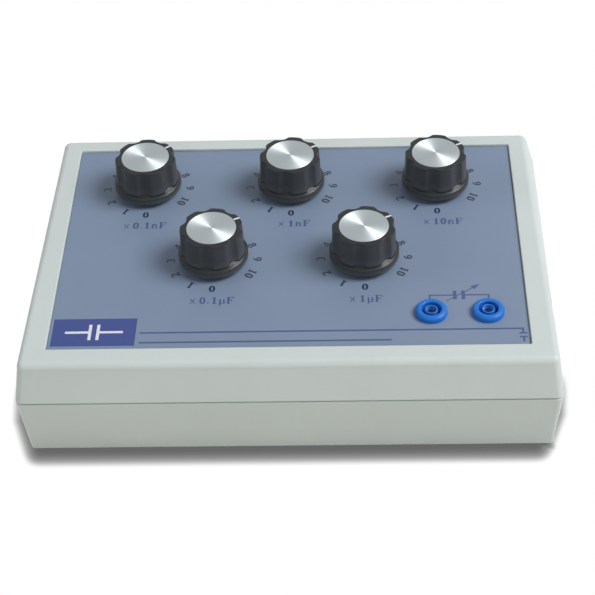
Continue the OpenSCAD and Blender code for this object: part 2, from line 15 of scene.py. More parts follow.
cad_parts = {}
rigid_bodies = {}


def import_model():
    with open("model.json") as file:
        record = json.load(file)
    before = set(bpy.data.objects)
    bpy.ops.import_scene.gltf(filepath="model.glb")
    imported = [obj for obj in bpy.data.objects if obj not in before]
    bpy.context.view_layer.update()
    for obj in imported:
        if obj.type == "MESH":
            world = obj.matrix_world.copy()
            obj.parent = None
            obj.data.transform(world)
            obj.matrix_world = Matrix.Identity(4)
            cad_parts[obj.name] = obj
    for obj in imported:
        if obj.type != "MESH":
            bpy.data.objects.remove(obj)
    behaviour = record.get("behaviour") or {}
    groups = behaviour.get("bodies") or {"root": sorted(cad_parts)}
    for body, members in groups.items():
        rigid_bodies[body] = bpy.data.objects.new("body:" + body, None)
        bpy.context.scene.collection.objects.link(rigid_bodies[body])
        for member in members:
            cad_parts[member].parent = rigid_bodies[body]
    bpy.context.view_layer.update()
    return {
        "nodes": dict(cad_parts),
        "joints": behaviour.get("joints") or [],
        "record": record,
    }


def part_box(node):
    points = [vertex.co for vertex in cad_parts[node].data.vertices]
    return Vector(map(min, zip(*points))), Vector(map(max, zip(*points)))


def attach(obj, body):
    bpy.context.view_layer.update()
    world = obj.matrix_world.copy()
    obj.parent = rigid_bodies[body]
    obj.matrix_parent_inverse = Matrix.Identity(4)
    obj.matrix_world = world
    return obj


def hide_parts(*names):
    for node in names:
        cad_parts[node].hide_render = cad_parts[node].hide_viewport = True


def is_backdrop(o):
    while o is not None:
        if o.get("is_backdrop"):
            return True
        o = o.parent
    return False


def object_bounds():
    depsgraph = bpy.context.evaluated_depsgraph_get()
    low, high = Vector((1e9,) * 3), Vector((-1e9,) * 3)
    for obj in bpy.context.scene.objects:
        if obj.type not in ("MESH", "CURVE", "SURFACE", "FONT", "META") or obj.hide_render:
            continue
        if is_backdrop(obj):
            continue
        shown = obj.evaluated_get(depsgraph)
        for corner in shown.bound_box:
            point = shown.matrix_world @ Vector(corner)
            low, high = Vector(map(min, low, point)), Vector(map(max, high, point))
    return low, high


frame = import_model()

# %% [markdown]
# ## The camera
# The camera comes first, because every later choice is judged through it. Its place was solved from
# the panel's corners and the dials in the photograph. It stands in front of the box, a little to the
# right, and looks down at the panel with a long lens, so the box's sides stay nearly parallel.

# %% Camera at the photograph's place
MM = 0.001
FRAME_PX = 595
FOCAL_PX = 1704.3
SENSOR_MM = 36.0
CAMERA_MM = Vector((33.1, -610.0, 570.0))
AIM_MM = Vector((3.85, -37.05, 51.3))
CAMERA_LEAN_DEG = 2.72

scene = bpy.context.scene
lens = bpy.data.cameras.new("camera")
lens.sensor_width = SENSOR_MM
lens.lens = FOCAL_PX / FRAME_PX * SENSOR_MM
camera = bpy.data.objects.new("camera", lens)
scene.collection.objects.link(camera)
look = (AIM_MM - CAMERA_MM).to_track_quat("-Z", "Y").to_matrix().to_4x4()
lean = Matrix.Rotation(radians(-CAMERA_LEAN_DEG), 4, "Z")
camera.matrix_world = Matrix.Translation(CAMERA_MM * MM) @ look @ lean
scene.camera = camera
scene.view_settings.view_transform = "Standard"
print("camera: lens", round(lens.lens, 1), "mm at", tuple(round(c) for c in CAMERA_MM), "mm")

# %% [markdown]
# ## Sizes from the frame
# The solids already hold the true sizes, so the script reads them instead of repeating them. All
# sizes here are in millimetres, and a mesh is brought to metres when it is made. The joints give the
# axes of the dials.


# %% Read sizes and places off the solids
def box_mm(node):
    """Lowest and highest corner of a solid, in millimetres."""
    low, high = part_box(node)
    return low / MM, high / MM


upper_low, upper_high = box_mm("upper_case")
panel_low, panel_high = box_mm("front_panel")
CASE_W = upper_high.x - upper_low.x
CASE_D = upper_high.y - upper_low.y
BASE_Z = box_mm("lower_case")[0].z
PARTING_Z = upper_low.z
RIM_Z = upper_high.z
PANEL_Z = panel_high.z
DECK_Z = panel_low.z
PANEL_W = panel_high.x - panel_low.x
PANEL_D = panel_high.y - panel_low.y
PANEL_Y = (panel_low.y + panel_high.y) / 2

dials = {joint["child"]: Vector(joint["pos_m"]) / MM for joint in frame["joints"]}
print("case", round(CASE_W, 1), "x", round(CASE_D, 1), "x", round(RIM_Z, 1), "mm,", len(dials), "dials")

# %% [markdown]
# ## Mesh helpers
# Nearly every piece here is one of two kinds. A shell is lofted: a stack of rounded rectangles joined
# by quads. A turned piece is a lathe profile swept about an upright axis. Both are closed skins, so
# the normals can be turned outwards by Blender itself. Extra rings close to each soft edge keep the
# large flat faces flat under smooth shading.


# %% Arcs, lofts and lathes
def arc(cx, cy, rx, ry, start, stop, steps):
    """Points along an ellipse between two angles in degrees."""
    turns = [radians(start + (stop - start) * i / steps) for i in range(steps + 1)]
    return [(cx + rx * cos(turn), cy + ry * sin(turn)) for turn in turns]


def bend(cx, cy, radius, start, stop, steps):
    """Points along a circle between two angles in degrees."""
    return arc(cx, cy, radius, radius, start, stop, steps)


def loft(rings):
    """Closed skin over rings of equal length, with both ends filled."""
    count = len(rings[0])
    points = [point for ring in rings for point in ring]
    faces = [tuple(range(count)), tuple(range(len(points) - count, len(points)))]
    for start in range(0, len(points) - count, count):
        for i in range(count):
            j = (i + 1) % count
            faces.append((start + i, start + j, start + count + j, start + count + i))
    return points, faces


def lathe(profile, steps):
    """Skin of a profile of (radius, height) turned about Z. A radius of 0 is a pole, and a profile
    with no pole closes on itself."""
    points, rings, faces = [], [], []
    for radius, height in profile:
        count = steps if radius else 1
        rings.append([len(points) + i for i in range(count)])
        for i in range(count):
            turn = 2 * pi * i / steps
            points.append((radius * cos(turn), radius * sin(turn), height))
    pairs = list(zip(rings, rings[1:]))
    if profile[0][0]:
        pairs.append((rings[-1], rings[0]))
    for low, high in pairs:
        for i in range(steps):
            j = (i + 1) % steps
            corners = (low[i % len(low)], low[j % len(low)], high[j % len(high)], high[i % len(high)])
            faces.append(tuple(dict.fromkeys(corners)))
    return points, faces


def joined(parts):
    """One list of points and faces from several."""
    points, faces = [], []
    for part_points, part_faces in parts:
        start = len(points)
        points += part_points
        faces += [tuple(start + i for i in face) for face in part_faces]
    return points, faces


# %% Pieces, placing and carving
ROD_STEPS = 48
SMOOTH_DEG = 32.0


def soften(mesh):
    """Smooth shading, with sharp edges kept where faces meet steeply."""
    mesh.shade_smooth()
    mesh.set_sharp_from_angle(angle=radians(SMOOTH_DEG))


def piece(name, skin, finish):
    """New object at the origin from points in millimetres, with its faces turned outwards."""
    points, faces = skin
    mesh = bpy.data.meshes.new(name)
    mesh.from_pydata([Vector(point) * MM for point in points], [], faces)
    shape = bmesh.new()
    shape.from_mesh(mesh)
    bmesh.ops.recalc_face_normals(shape, faces=shape.faces)
    shape.to_mesh(mesh)
    shape.free()
    soften(mesh)
    mesh.materials.append(finish)
    obj = bpy.data.objects.new(name, mesh)
    scene.collection.objects.link(obj)
    return obj


def settle(obj):
    """Turns what the modifiers make into the object's plain mesh."""
    old = obj.data
    evaluated = obj.evaluated_get(bpy.context.evaluated_depsgraph_get())
    made = bpy.data.meshes.new_from_object(evaluated)
    obj.modifiers.clear()
    obj.data = made
    made.name = obj.name
    bpy.data.meshes.remove(old)
    return obj


def discard(obj):
    """Removes a helper object and its mesh."""
    mesh = obj.data
    bpy.data.objects.remove(obj)
    bpy.data.meshes.remove(mesh)


def carve(obj, tool, operation):
    """Cuts or adds a tool object, then removes it."""
    step = obj.modifiers.new("carve", "BOOLEAN")
    step.operation = operation
    step.solver = "EXACT"
    step.object = tool
    settle(obj)
    discard(tool)
    soften(obj.data)


def rods(name, places, radius, low_z, high_z, finish):
    """Upright round rods at several places, as one object."""
    profile = [(0, low_z), (radius, low_z), (radius, high_z), (0, high_z)]
    points, faces = lathe(profile, ROD_STEPS)
    moved = [([(x + px, y + py, z) for x, y, z in points], faces) for px, py in places]
    return piece(name, joined(moved), finish)


def dress(obj, body, slot, *nodes):
    """Hangs a finished piece on its body and hides the solids that it stands for. The slot is not used.
    """
    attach(obj, body)
    if nodes:
        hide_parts(*nodes)
    print("piece", obj.name, "on", body, "with", len(obj.data.polygons), "faces")


# %% [markdown]
# ## Nodes
# Finishes and Geometry Nodes trees are both graphs of nodes. A few helpers keep them short to write:
# one adds a node with its inputs, one adds a node of arithmetic, and one runs a value through a ramp
# of colours.


# %% Helpers for nodes
def connect(tree, value, socket):
    """Links a socket to an input, or sets the input to a plain value."""
    if isinstance(value, bpy.types.NodeSocket):
        tree.links.new(value, socket)
    else:
        socket.default_value = value


def wire(tree, node, **inputs):
    """Links or sets a node's inputs by label, with underscores for spaces."""
    for label, value in inputs.items():
        connect(tree, value, node.inputs[label.replace("_", " ")])
    return node


def add(tree, kind, **inputs):
    """New node of a kind, with its inputs linked or set."""
    return wire(tree, tree.nodes.new(kind), **inputs)


def maths(tree):
    """A function that adds a math node over sockets or numbers, and gives its output."""
    def reckon(operation, *values):
        node = tree.nodes.new("ShaderNodeMath")
        node.operation = operation
        for socket, value in zip(node.inputs, values):
            connect(tree, value, socket)
        return node.outputs[0]
    return reckon


def colour_steps(tree, source, steps):
    """Colour from a ramp of several (position, colour) steps."""
    ramp = add(tree, "ShaderNodeValToRGB", Fac=source)
    stops = ramp.color_ramp.elements
    while len(stops) < len(steps):
        stops.new(1.0)
    for stop, (position, colour) in zip(stops, steps):
        stop.position = position
        stop.color = colour
    return ramp.outputs["Color"]


# %% [markdown]
# ## Finishes
# Each finish is a small node tree on the Principled shader, with its patterns on Object coordinates in
# metres. A slow noise mottles the colour, a finer one varies the gloss, and a very fine one gives the
# moulded or sprayed grain as bump. A helper class keeps the trees short.

# %% A helper for finishes
NOISE_RANGE = (0.3, 0.7)


def srgb(red, green, blue):
    """Linear colour from the 0 to 255 values that a picture shows."""
    def linear(value):
        value /= 255
        return value / 12.92 if value <= 0.04045 else ((value + 0.055) / 1.055) ** 2.4
    return (linear(red), linear(green), linear(blue), 1.0)


def shade(colour, factor):
    """The same colour, darker or lighter."""
    return tuple(min(channel * factor, 1.0) for channel in colour[:3]) + (1.0,)


class Finish:
    """A material in the making: its Principled shader and the nodes that feed it."""

    def __init__(self, name):
        self.material = bpy.data.materials.new(name)
        self.material.use_nodes = True
        self.tree = self.material.node_tree
        self.shader = self.tree.nodes["Principled BSDF"]
        self.place = self.tree.nodes.new("ShaderNodeTexCoord").outputs["Object"]

    def feed(self, **inputs):
        """Links or sets the shader's own inputs."""
        wire(self.tree, self.shader, **inputs)

    def noise(self, size_mm, detail, stretch=(1, 1, 1)):
        """Noise with features of about a size, longer along an axis with a small stretch."""
        spread = add(self.tree, "ShaderNodeMapping", Vector=self.place, Scale=stretch)
        noise = add(self.tree, "ShaderNodeTexNoise", Vector=spread.outputs["Vector"],
                    Scale=1 / (size_mm * MM), Detail=detail)
        return noise.outputs["Fac"]

    def colour(self, source, first, second):
        """Colour that runs from the first to the second over the range of a noise."""
        steps = list(zip(NOISE_RANGE, (first, second)))
        self.feed(Base_Color=colour_steps(self.tree, source, steps))

    def gloss(self, source, low, high):
        """Roughness that follows the source between two values."""
        spread = add(self.tree, "ShaderNodeMapRange", Value=source, To_Min=low, To_Max=high)
        self.feed(Roughness=spread.outputs["Result"])

    def grain(self, source, depth_mm):
        """Bump of a given depth."""
        bump = add(self.tree, "ShaderNodeBump", Height=source, Distance=depth_mm * MM)
        self.feed(Normal=bump.outputs["Normal"])


# %% [markdown]
# ### Plastics, metals and inks
# The case is pale ABS with a fine satin grain, the panel is a matt painted plate, and the knobs are a
# satin black moulding. Three recipes cover most of the pieces: a moulding, a bare metal and an ink.

# %% Recipes for mouldings, metals and inks
DRAWN_STRETCH = (1, 1, 12)


def moulding(name, colour, rough, grain_mm, depth_mm, mottle=0.03, sheen=0.5):
    """Moulded plastic or paint: slow mottling, uneven gloss and a fine grain."""
    finish = Finish(name)
    finish.colour(finish.noise(25, 4), shade(colour, 1 - mottle), shade(colour, 1 + mottle))
    finish.gloss(finish.noise(6, 3), rough - 0.05, rough + 0.05)
    finish.grain(finish.noise(grain_mm, 3), depth_mm)
    finish.feed(Specular_IOR_Level=sheen)
    return finish.material


def bare_metal(name, colour, rough):
    """Plated or turned metal with fine drawn lines."""
    finish = Finish(name)
    finish.feed(Metallic=1.0)
    lines = finish.noise(1.5, 4, DRAWN_STRETCH)
    finish.colour(lines, shade(colour, 0.9), shade(colour, 1.05))
    finish.gloss(lines, rough - 0.06, rough + 0.06)
    finish.grain(lines, 0.004)
    return finish.material


def ink(name, colour):
    """Screen ink: nearly even, with a trace of the mesh that it was pulled through."""
    finish = Finish(name)
    finish.colour(finish.noise(0.5, 2), shade(colour, 0.93), shade(colour, 1.07))
    finish.gloss(finish.noise(3, 2), 0.42, 0.52)
    return finish.material


# %% One finish for each material slot
CASE_COLOUR = srgb(204, 214, 212)
PANEL_COLOUR = srgb(120, 137, 162)
finishes = {
    "case_plastic": moulding("pale_case_plastic", CASE_COLOUR, 0.5, 0.45, 0.012, 0.015),
    "panel_paint": moulding("panel_paint", PANEL_COLOUR, 0.52, 0.3, 0.006, 0.02),
    "brass": bare_metal("turned_brass", srgb(200, 168, 96), 0.32),
    "steel": bare_metal("plated_steel", srgb(196, 198, 200), 0.36),
    "shaft_metal": bare_metal("turned_shaft", srgb(205, 205, 202), 0.34),
    "contact_metal": bare_metal("nickel_plate", srgb(156, 186, 226), 0.5),
    "switch_plastic": moulding("switch_housing_plastic", srgb(222, 220, 210), 0.45, 0.5, 0.008),
    "phenolic": moulding("phenolic_laminate", srgb(150, 104, 66), 0.5, 0.8, 0.01, 0.1),
    "board": moulding("board_laminate", srgb(52, 110, 72), 0.4, 0.7, 0.006, 0.06),
    "capacitor_case": moulding("capacitor_moulding", srgb(176, 76, 52), 0.35, 0.6, 0.006, 0.04),
    "socket_plastic": moulding("blue_socket_plastic", srgb(38, 116, 206), 0.34, 0.8, 0.004, 0.04, 0.22),
    "lead_insulation": moulding("lead_insulation", srgb(190, 44, 38), 0.42, 0.6, 0.006, 0.04),
    "rubber": moulding("foot_rubber", srgb(44, 44, 45), 0.75, 0.35, 0.02, 0.1)}
dial_ink = ink("dial_ink", srgb(34, 48, 74))
label_ink = ink("label_ink", srgb(65, 82, 127))
block_ink = ink("block_ink", srgb(50, 68, 134))
pale_ink = ink("pale_ink", srgb(226, 229, 236))
print("finishes:", len(bpy.data.materials))

# %% [markdown]
# ### Spun aluminium
# A knob cap is turned on a lathe, which leaves rings too fine to see. They spread a highlight along the
# radius, so two bright sectors face the light like a bow tie. An anisotropic gloss does the same when
# its tangent runs around the cap, and a UV map with the angle along U gives that tangent.

# %% Spun finish for the caps
CAP_UV = "around"
RING_SCALE = (2.0, 260.0, 1.0)


def spun_aluminium():
    finish = Finish("spun_aluminium")
    tree = finish.tree
    uv = tree.nodes.new("ShaderNodeUVMap")
    uv.uv_map = CAP_UV
    rings = add(tree, "ShaderNodeMapping", Vector=uv.outputs["UV"], Scale=RING_SCALE)
    noise = add(tree, "ShaderNodeTexNoise", Vector=rings.outputs["Vector"], Scale=1.0, Detail=3.0)
    finish.colour(noise.outputs["Fac"], srgb(168, 176, 179), srgb(182, 190, 193))
    finish.gloss(noise.outputs["Fac"], 0.52, 0.56)
    tangent = tree.nodes.new("ShaderNodeTangent")
    tangent.direction_type = "UV_MAP"
    tangent.uv_map = CAP_UV
    finish.feed(Metallic=1.0, Anisotropic=0.83, Anisotropic_Rotation=0.25,
                Tangent=tangent.outputs["Tangent"])
    return finish.material


finishes["cap_aluminium"] = spun_aluminium()
print("slots with a finish:", len(finishes))

# %% [markdown]
# ## The case shells
# The case is two mouldings that meet at a parting line, where both are widest, because each leaves its
# mould along Z and its walls lean in. The front wall of the upper shell slopes back most, and its rim is
# a little wider in front than at the rear. Each shell is lofted from rounded rectangles, from the inside
# face round the parting line to the outside, so it is one closed skin with a real wall, and a narrow
# groove runs along the parting line. Seats, holes and screw bosses are then carved with booleans.

# %% Rings of a shell
CORNER_R = 3.4
MIN_CORNER_R = 0.3
CORNER_STEPS = 10
WALL = 2.5
UPPER_DRAFT = tan(radians(12.0))
LOWER_DRAFT = tan(radians(5.0))
SEAM_GAP = 0.1
LEDGE_DROP = 0.6
SEAM_DEPTH = 1.2
SEAM_R = 0.15
LEDGE_R = 0.6
TONGUE_T = 1.0
TONGUE_H = 1.5
TONGUE_CLEAR = 0.15
FLAT = 0.35
RIM_FLARE = 1.45
RIM_EASE = 0.1
FRONT_SLOPE = 2.2


def ring(width, depth, radius, z, middle_y=0.0):
    """Rounded rectangle at a height, anticlockwise."""
    points = []
    for side_x, side_y, start in ((1, -1, -90), (1, 1, 0), (-1, 1, 90), (-1, -1, 180)):
        corner_x = side_x * (width / 2 - radius)
        corner_y = middle_y + side_y * (depth / 2 - radius)
        points += bend(corner_x, corner_y, radius, start, start + 90, CORNER_STEPS)
    return [(x, y, z) for x, y in points]


def case_ring(inset, z, corner=CORNER_R):
    """Ring of a shell, set in from the widest outline."""
    return ring(CASE_W - 2 * inset, CASE_D - 2 * inset, max(corner, MIN_CORNER_R), z)


def even_rings(*rows):
    """Rings at (inset, height) rows, with corners about the same centres as the widest outline."""
    return [case_ring(inset, z, CORNER_R - inset) for inset, z in rows]


def sloped(points):
    """Ring of the upper walls: the front one slopes back most, and the sides open towards the front."""
    out = []
    for x, y, z in points:
        rise = max(z - PARTING_Z - SEAM_GAP - SEAM_R, 0.0) / (RIM_Z - PARTING_Z)
        along = 2 * y / CASE_D
        wider = rise * (RIM_EASE - RIM_FLARE * along)
        back = rise * FRONT_SLOPE * max(-along, 0.0)
        out.append((x * (1 + 2 * wider / CASE_W), y + back, z))
    return out


# %% Upper shell
TOP_R = 3.2
DECK_T = 2.5
DECK_UNDER_Z = DECK_Z - DECK_T
POCKET_GAP = 0.25
POCKET_EDGE_R = 0.45
POCKET_CORNER_R = 0.6


def pocket_ring(grow, z):
    """Ring of the panel's pocket, grown from its walls."""
    width = PANEL_W + 2 * (POCKET_GAP + grow)
    depth = PANEL_D + 2 * (POCKET_GAP + grow)
    return ring(width, depth, POCKET_CORNER_R + grow, z, PANEL_Y)


def upper_shell_rings():
    groove = WALL - TONGUE_T - TONGUE_CLEAR
    groove_z = PARTING_Z + TONGUE_H + TONGUE_CLEAR
    lean_in = (RIM_Z - TOP_R - PARTING_Z) * UPPER_DRAFT
    ceiling_in = WALL + (DECK_UNDER_Z - PARTING_Z) * UPPER_DRAFT
    lip_z = PARTING_Z + SEAM_GAP
    rings = [case_ring(ceiling_in, DECK_UNDER_Z, CORNER_R - WALL)]
    rings += even_rings((WALL, groove_z), (groove, groove_z), (groove, PARTING_Z),
                        (SEAM_DEPTH, PARTING_Z), (SEAM_DEPTH, lip_z),
                        *bend(SEAM_R, lip_z + SEAM_R, SEAM_R, 270, 180, 4))
    rings.append(case_ring(FLAT * UPPER_DRAFT, lip_z + SEAM_R + FLAT))
    rings.append(case_ring(lean_in - FLAT * UPPER_DRAFT, RIM_Z - TOP_R - FLAT))
    for inset, z in bend(lean_in + TOP_R, RIM_Z - TOP_R, TOP_R, 180, 90, 10):
        rings.append(case_ring(inset, z, CORNER_R - (inset - lean_in)))
    rings.append(case_ring(lean_in + TOP_R + FLAT, RIM_Z, CORNER_R - TOP_R - FLAT))
    rings = [sloped(points) for points in rings]
    rings.append(pocket_ring(POCKET_EDGE_R + FLAT, RIM_Z))
    for grow, z in bend(POCKET_EDGE_R, RIM_Z - POCKET_EDGE_R, POCKET_EDGE_R, 90, 180, 4):
        rings.append(pocket_ring(grow, z))
    rings.append(pocket_ring(0, DECK_Z))
    return rings


plastic = finishes["case_plastic"]
upper_shell = piece("upper_shell", loft(upper_shell_rings()), plastic)
print("upper shell:", len(upper_shell.data.vertices), "points")

# %% [markdown]
# The deck under the panel has a hole for each switch neck and each socket shank, and a boss with a pilot
# hole at each corner takes a case screw from below.

# %% Holes and bosses of the upper shell
CLEARANCE = 0.2
SNUG = 0.05
NECK_R = 5.0
SHANK_R = 6.0
BOSS_R = 5.0
SCREW_R = 1.5
SCREW_HEAD_R = 2.8
SCREW_GRIP = 10.0
CUT = 1.0


def middle(node):
    """Middle of a solid, in millimetres."""
    low, high = box_mm(node)
    return (low + high) / 2


def corners(node, half_size):
    """The four places of a group of solids, one near each corner of the case."""
    low, high = box_mm(node)
    return [(x, y) for x in (low.x + half_size, high.x - half_size)
            for y in (low.y + half_size, high.y - half_size)]


def drill(shell, name, places, radius, low_z, high_z):
    """Round upright holes in a shell."""
    carve(shell, rods(name, places, radius, low_z, high_z, plastic), "DIFFERENCE")


screw_places = corners("case_screws", SCREW_HEAD_R)
dial_places = [(dial.x, dial.y) for dial in dials.values()]
socket_places = [tuple(middle(f"socket_body_{side}").xy) for side in ("left", "right")]

carve(upper_shell, rods("bosses", screw_places, BOSS_R, PARTING_Z, DECK_UNDER_Z + CUT, plastic), "UNION")
drill(upper_shell, "pilots", screw_places, SCREW_R + SNUG, PARTING_Z - CUT, PARTING_Z + SCREW_GRIP + CUT)
drill(upper_shell, "neck_holes", dial_places, NECK_R + CLEARANCE, DECK_UNDER_Z - CUT, RIM_Z)
drill(upper_shell, "shank_holes", socket_places, SHANK_R + CLEARANCE, DECK_UNDER_Z - CUT, RIM_Z)
dress(upper_shell, "case", "case_plastic", "upper_case")

# %% [markdown]
# The lower shell is made the same way. A tongue along its edge lines the two shells up, its floor has a
# round seat for each foot, and each screw goes up a deep counterbore inside its boss.

# %% Lower shell
BASE_R = 0.4
BASE_CORNER_R = 1.6
FLOOR_Z = BASE_Z + WALL
FOOT_R = 7.0
FOOT_SEAT = 0.8
foot_places = corners("rubber_feet", FOOT_R)
SCREW_HEAD_H = 2.4
SCREW_SEAT_Z = box_mm("case_screws")[0].z + SCREW_HEAD_H


def lower_shell_rings():
    base_in = (PARTING_Z - BASE_Z) * LOWER_DRAFT
    tongue_in = WALL - TONGUE_T
    tongue_z = PARTING_Z + TONGUE_H
    ledge_z = PARTING_Z - LEDGE_DROP
    rings = [case_ring(base_in + WALL, FLOOR_Z, CORNER_R - WALL)]
    rings += even_rings((WALL, PARTING_Z), (WALL, tongue_z), (tongue_in, tongue_z),
                        (tongue_in, PARTING_Z), (SEAM_DEPTH, PARTING_Z), (SEAM_DEPTH, ledge_z),
                        *bend(LEDGE_R, ledge_z - LEDGE_R, LEDGE_R, 90, 180, 5))
    rings.append(case_ring(FLAT * LOWER_DRAFT, ledge_z - LEDGE_R - FLAT))
    foot = BASE_R + FLAT
    rings.append(case_ring(base_in - foot * LOWER_DRAFT, BASE_Z + foot, BASE_CORNER_R))
    for inset, z in bend(base_in + BASE_R, BASE_Z + BASE_R, BASE_R, 180, 270, 6):
        rings.append(case_ring(inset, z, BASE_CORNER_R - (inset - base_in)))
    rings.append(case_ring(base_in + foot, BASE_Z, BASE_CORNER_R - foot))
    return rings


lower_shell = piece("lower_shell", loft(lower_shell_rings()), plastic)
carve(lower_shell, rods("bosses", screw_places, BOSS_R, FLOOR_Z - CUT, PARTING_Z, plastic), "UNION")
drill(lower_shell, "screw_holes", screw_places, SCREW_R + CLEARANCE, BASE_Z - CUT, PARTING_Z + CUT)
drill(lower_shell, "counterbores", screw_places, SCREW_HEAD_R + CLEARANCE, BASE_Z - CUT, SCREW_SEAT_Z)
drill(lower_shell, "foot_seats", foot_places, FOOT_R + SNUG, BASE_Z - CUT, BASE_Z + FOOT_SEAT)
dress(lower_shell, "case", "case_plastic", "lower_case")

# %% [markdown]
# ## Feet
# Four moulded rubber pads are stuck into the seats. One pad is turned on the lathe, and a small
# Geometry Nodes tree stands a copy at each place, which is how Blender repeats a part without
# repeating its mesh. The copies are made real at the end, because an export drops instances.


# %% A helper for node trees
def new_tree(name, inputs):
    """Geometry Nodes tree with named inputs. Returns the tree, its input sockets and its output node."""
    tree = bpy.data.node_groups.new(name, "GeometryNodeTree")
    tree.interface.new_socket("Geometry", in_out="INPUT", socket_type="NodeSocketGeometry")
    for label, kind in inputs:
        tree.interface.new_socket(label, in_out="INPUT", socket_type=f"NodeSocket{kind}")
    tree.interface.new_socket("Geometry", in_out="OUTPUT", socket_type="NodeSocketGeometry")
    return tree, tree.nodes.new("NodeGroupInput").outputs, tree.nodes.new("NodeGroupOutput")


def close_tree(tree, geometry, material, output):
    """Ends a tree: real copies, one finish, and the result."""
    real = add(tree, "GeometryNodeRealizeInstances", Geometry=geometry)
    painted = add(tree, "GeometryNodeSetMaterial", Geometry=real.outputs["Geometry"], Material=material)
    tree.links.new(painted.outputs["Geometry"], output.inputs["Geometry"])


def grow(obj, tree, **values):
    """Runs a tree on an object with its named inputs, and keeps the result as a plain mesh."""
    step = obj.modifiers.new(tree.name, "NODES")
    step.node_group = tree
    for item in tree.interface.items_tree:
        label = item.name.replace(" ", "_")
        if item.in_out == "INPUT" and label in values:
            step[item.identifier] = values[label]
    settle(obj)
    soften(obj.data)


# %% Rubber feet
FOOT_TOP_Z = BASE_Z + FOOT_SEAT
FOOT_EDGE_R = 0.6
FOOT_BEVEL = 0.1


def copies_tree():
    """Stands a copy of a part on every point."""
    tree, given, made = new_tree("stand_copies", [("Part", "Object"), ("Finish", "Material")])
    part = add(tree, "GeometryNodeObjectInfo", Object=given["Part"])
    copies = add(tree, "GeometryNodeInstanceOnPoints", Points=given["Geometry"],
                 Instance=part.outputs["Geometry"])
    close_tree(tree, copies.outputs["Instances"], given["Finish"], made)
    return tree


pad_profile = [(0, 0), (FOOT_R - FOOT_EDGE_R - FLAT, 0)]
pad_profile += bend(FOOT_R - FOOT_EDGE_R, FOOT_EDGE_R, FOOT_EDGE_R, -90, 0, 6)
pad_profile += [(FOOT_R, FOOT_TOP_Z - FOOT_BEVEL), (FOOT_R - FOOT_BEVEL, FOOT_TOP_Z), (0, FOOT_TOP_Z)]
pad = piece("pad", lathe(pad_profile, ROD_STEPS), finishes["rubber"])
feet = piece("foot_pads", ([(x, y, 0) for x, y in foot_places], []), finishes["rubber"])
grow(feet, copies_tree(), Part=pad, Finish=finishes["rubber"])
discard(pad)
dress(feet, "case", "rubber", "rubber_feet")

# %% [markdown]
# ## The print on the panel
# Dial numbers, multipliers, rules and circuit symbols are screen printed. The letters are bold with
# serifs, so each glyph is drawn as pen strokes: upright strokes are thick and level ones thin, as with
# a broad nib. A stroke is a flat strip of ink a few hundredths of a millimetre thick, so the print
# has a real edge and no image is needed.

# %% Pen strokes
INK_T = 0.02
INK_STEP = 0.002
STEM = 0.21
HAIR = 0.085
NIB_TURN = 1.3
TOUCHING = 1e-6


def strip(path, width, order=0, weight=1.0):
    """Ink along a path of points. A width of None takes the pen's own, by the stroke's direction."""
    closed = hypot(path[0][0] - path[-1][0], path[0][1] - path[-1][1]) < TOUCHING
    if closed:
        path = path[:-1]
    count = len(path)
    left, right = [], []
    for i, (x, y) in enumerate(path):
        after = path[(i + 1) % count] if closed or i + 1 < count else path[i]
        before = path[i - 1] if closed or i else path[i]
        along_x, along_y = after[0] - before[0], after[1] - before[1]
        length = hypot(along_x, along_y)
        along_x, along_y = along_x / length, along_y / length
        half = weight * (width or HAIR + (STEM - HAIR) * abs(along_y) ** NIB_TURN) / 2
        left.append((x - along_y * half, y + along_x * half))
        right.append((x + along_y * half, y - along_x * half))
    top = PANEL_Z + INK_T + order * INK_STEP
    points = []
    for (lx, ly), (rx, ry) in zip(left, right):
        points += [(lx, ly, PANEL_Z), (lx, ly, top), (rx, ry, top), (rx, ry, PANEL_Z)]
    faces = []
    for i in range(count if closed else count - 1):
        a, b = 4 * i, 4 * ((i + 1) % count)
        faces += [(a + k, a + (k + 1) % 4, b + (k + 1) % 4, b + k) for k in range(4)]
    if not closed:
        faces += [(0, 1, 2, 3), tuple(range(4 * count - 4, 4 * count))]
    return points, faces


# %% [markdown]
# The glyphs are drawn in a box one unit tall. Bowls are parts of ellipses, stems and hairlines are
# straight, and the nine is the six turned round.

# %% Glyphs
NUMERAL_W = 0.64


def turned_round(strokes):
    """Strokes turned half way about the middle of a numeral."""
    return [([(NUMERAL_W - x, 1.0 - y) for x, y in path], width) for path, width in strokes]


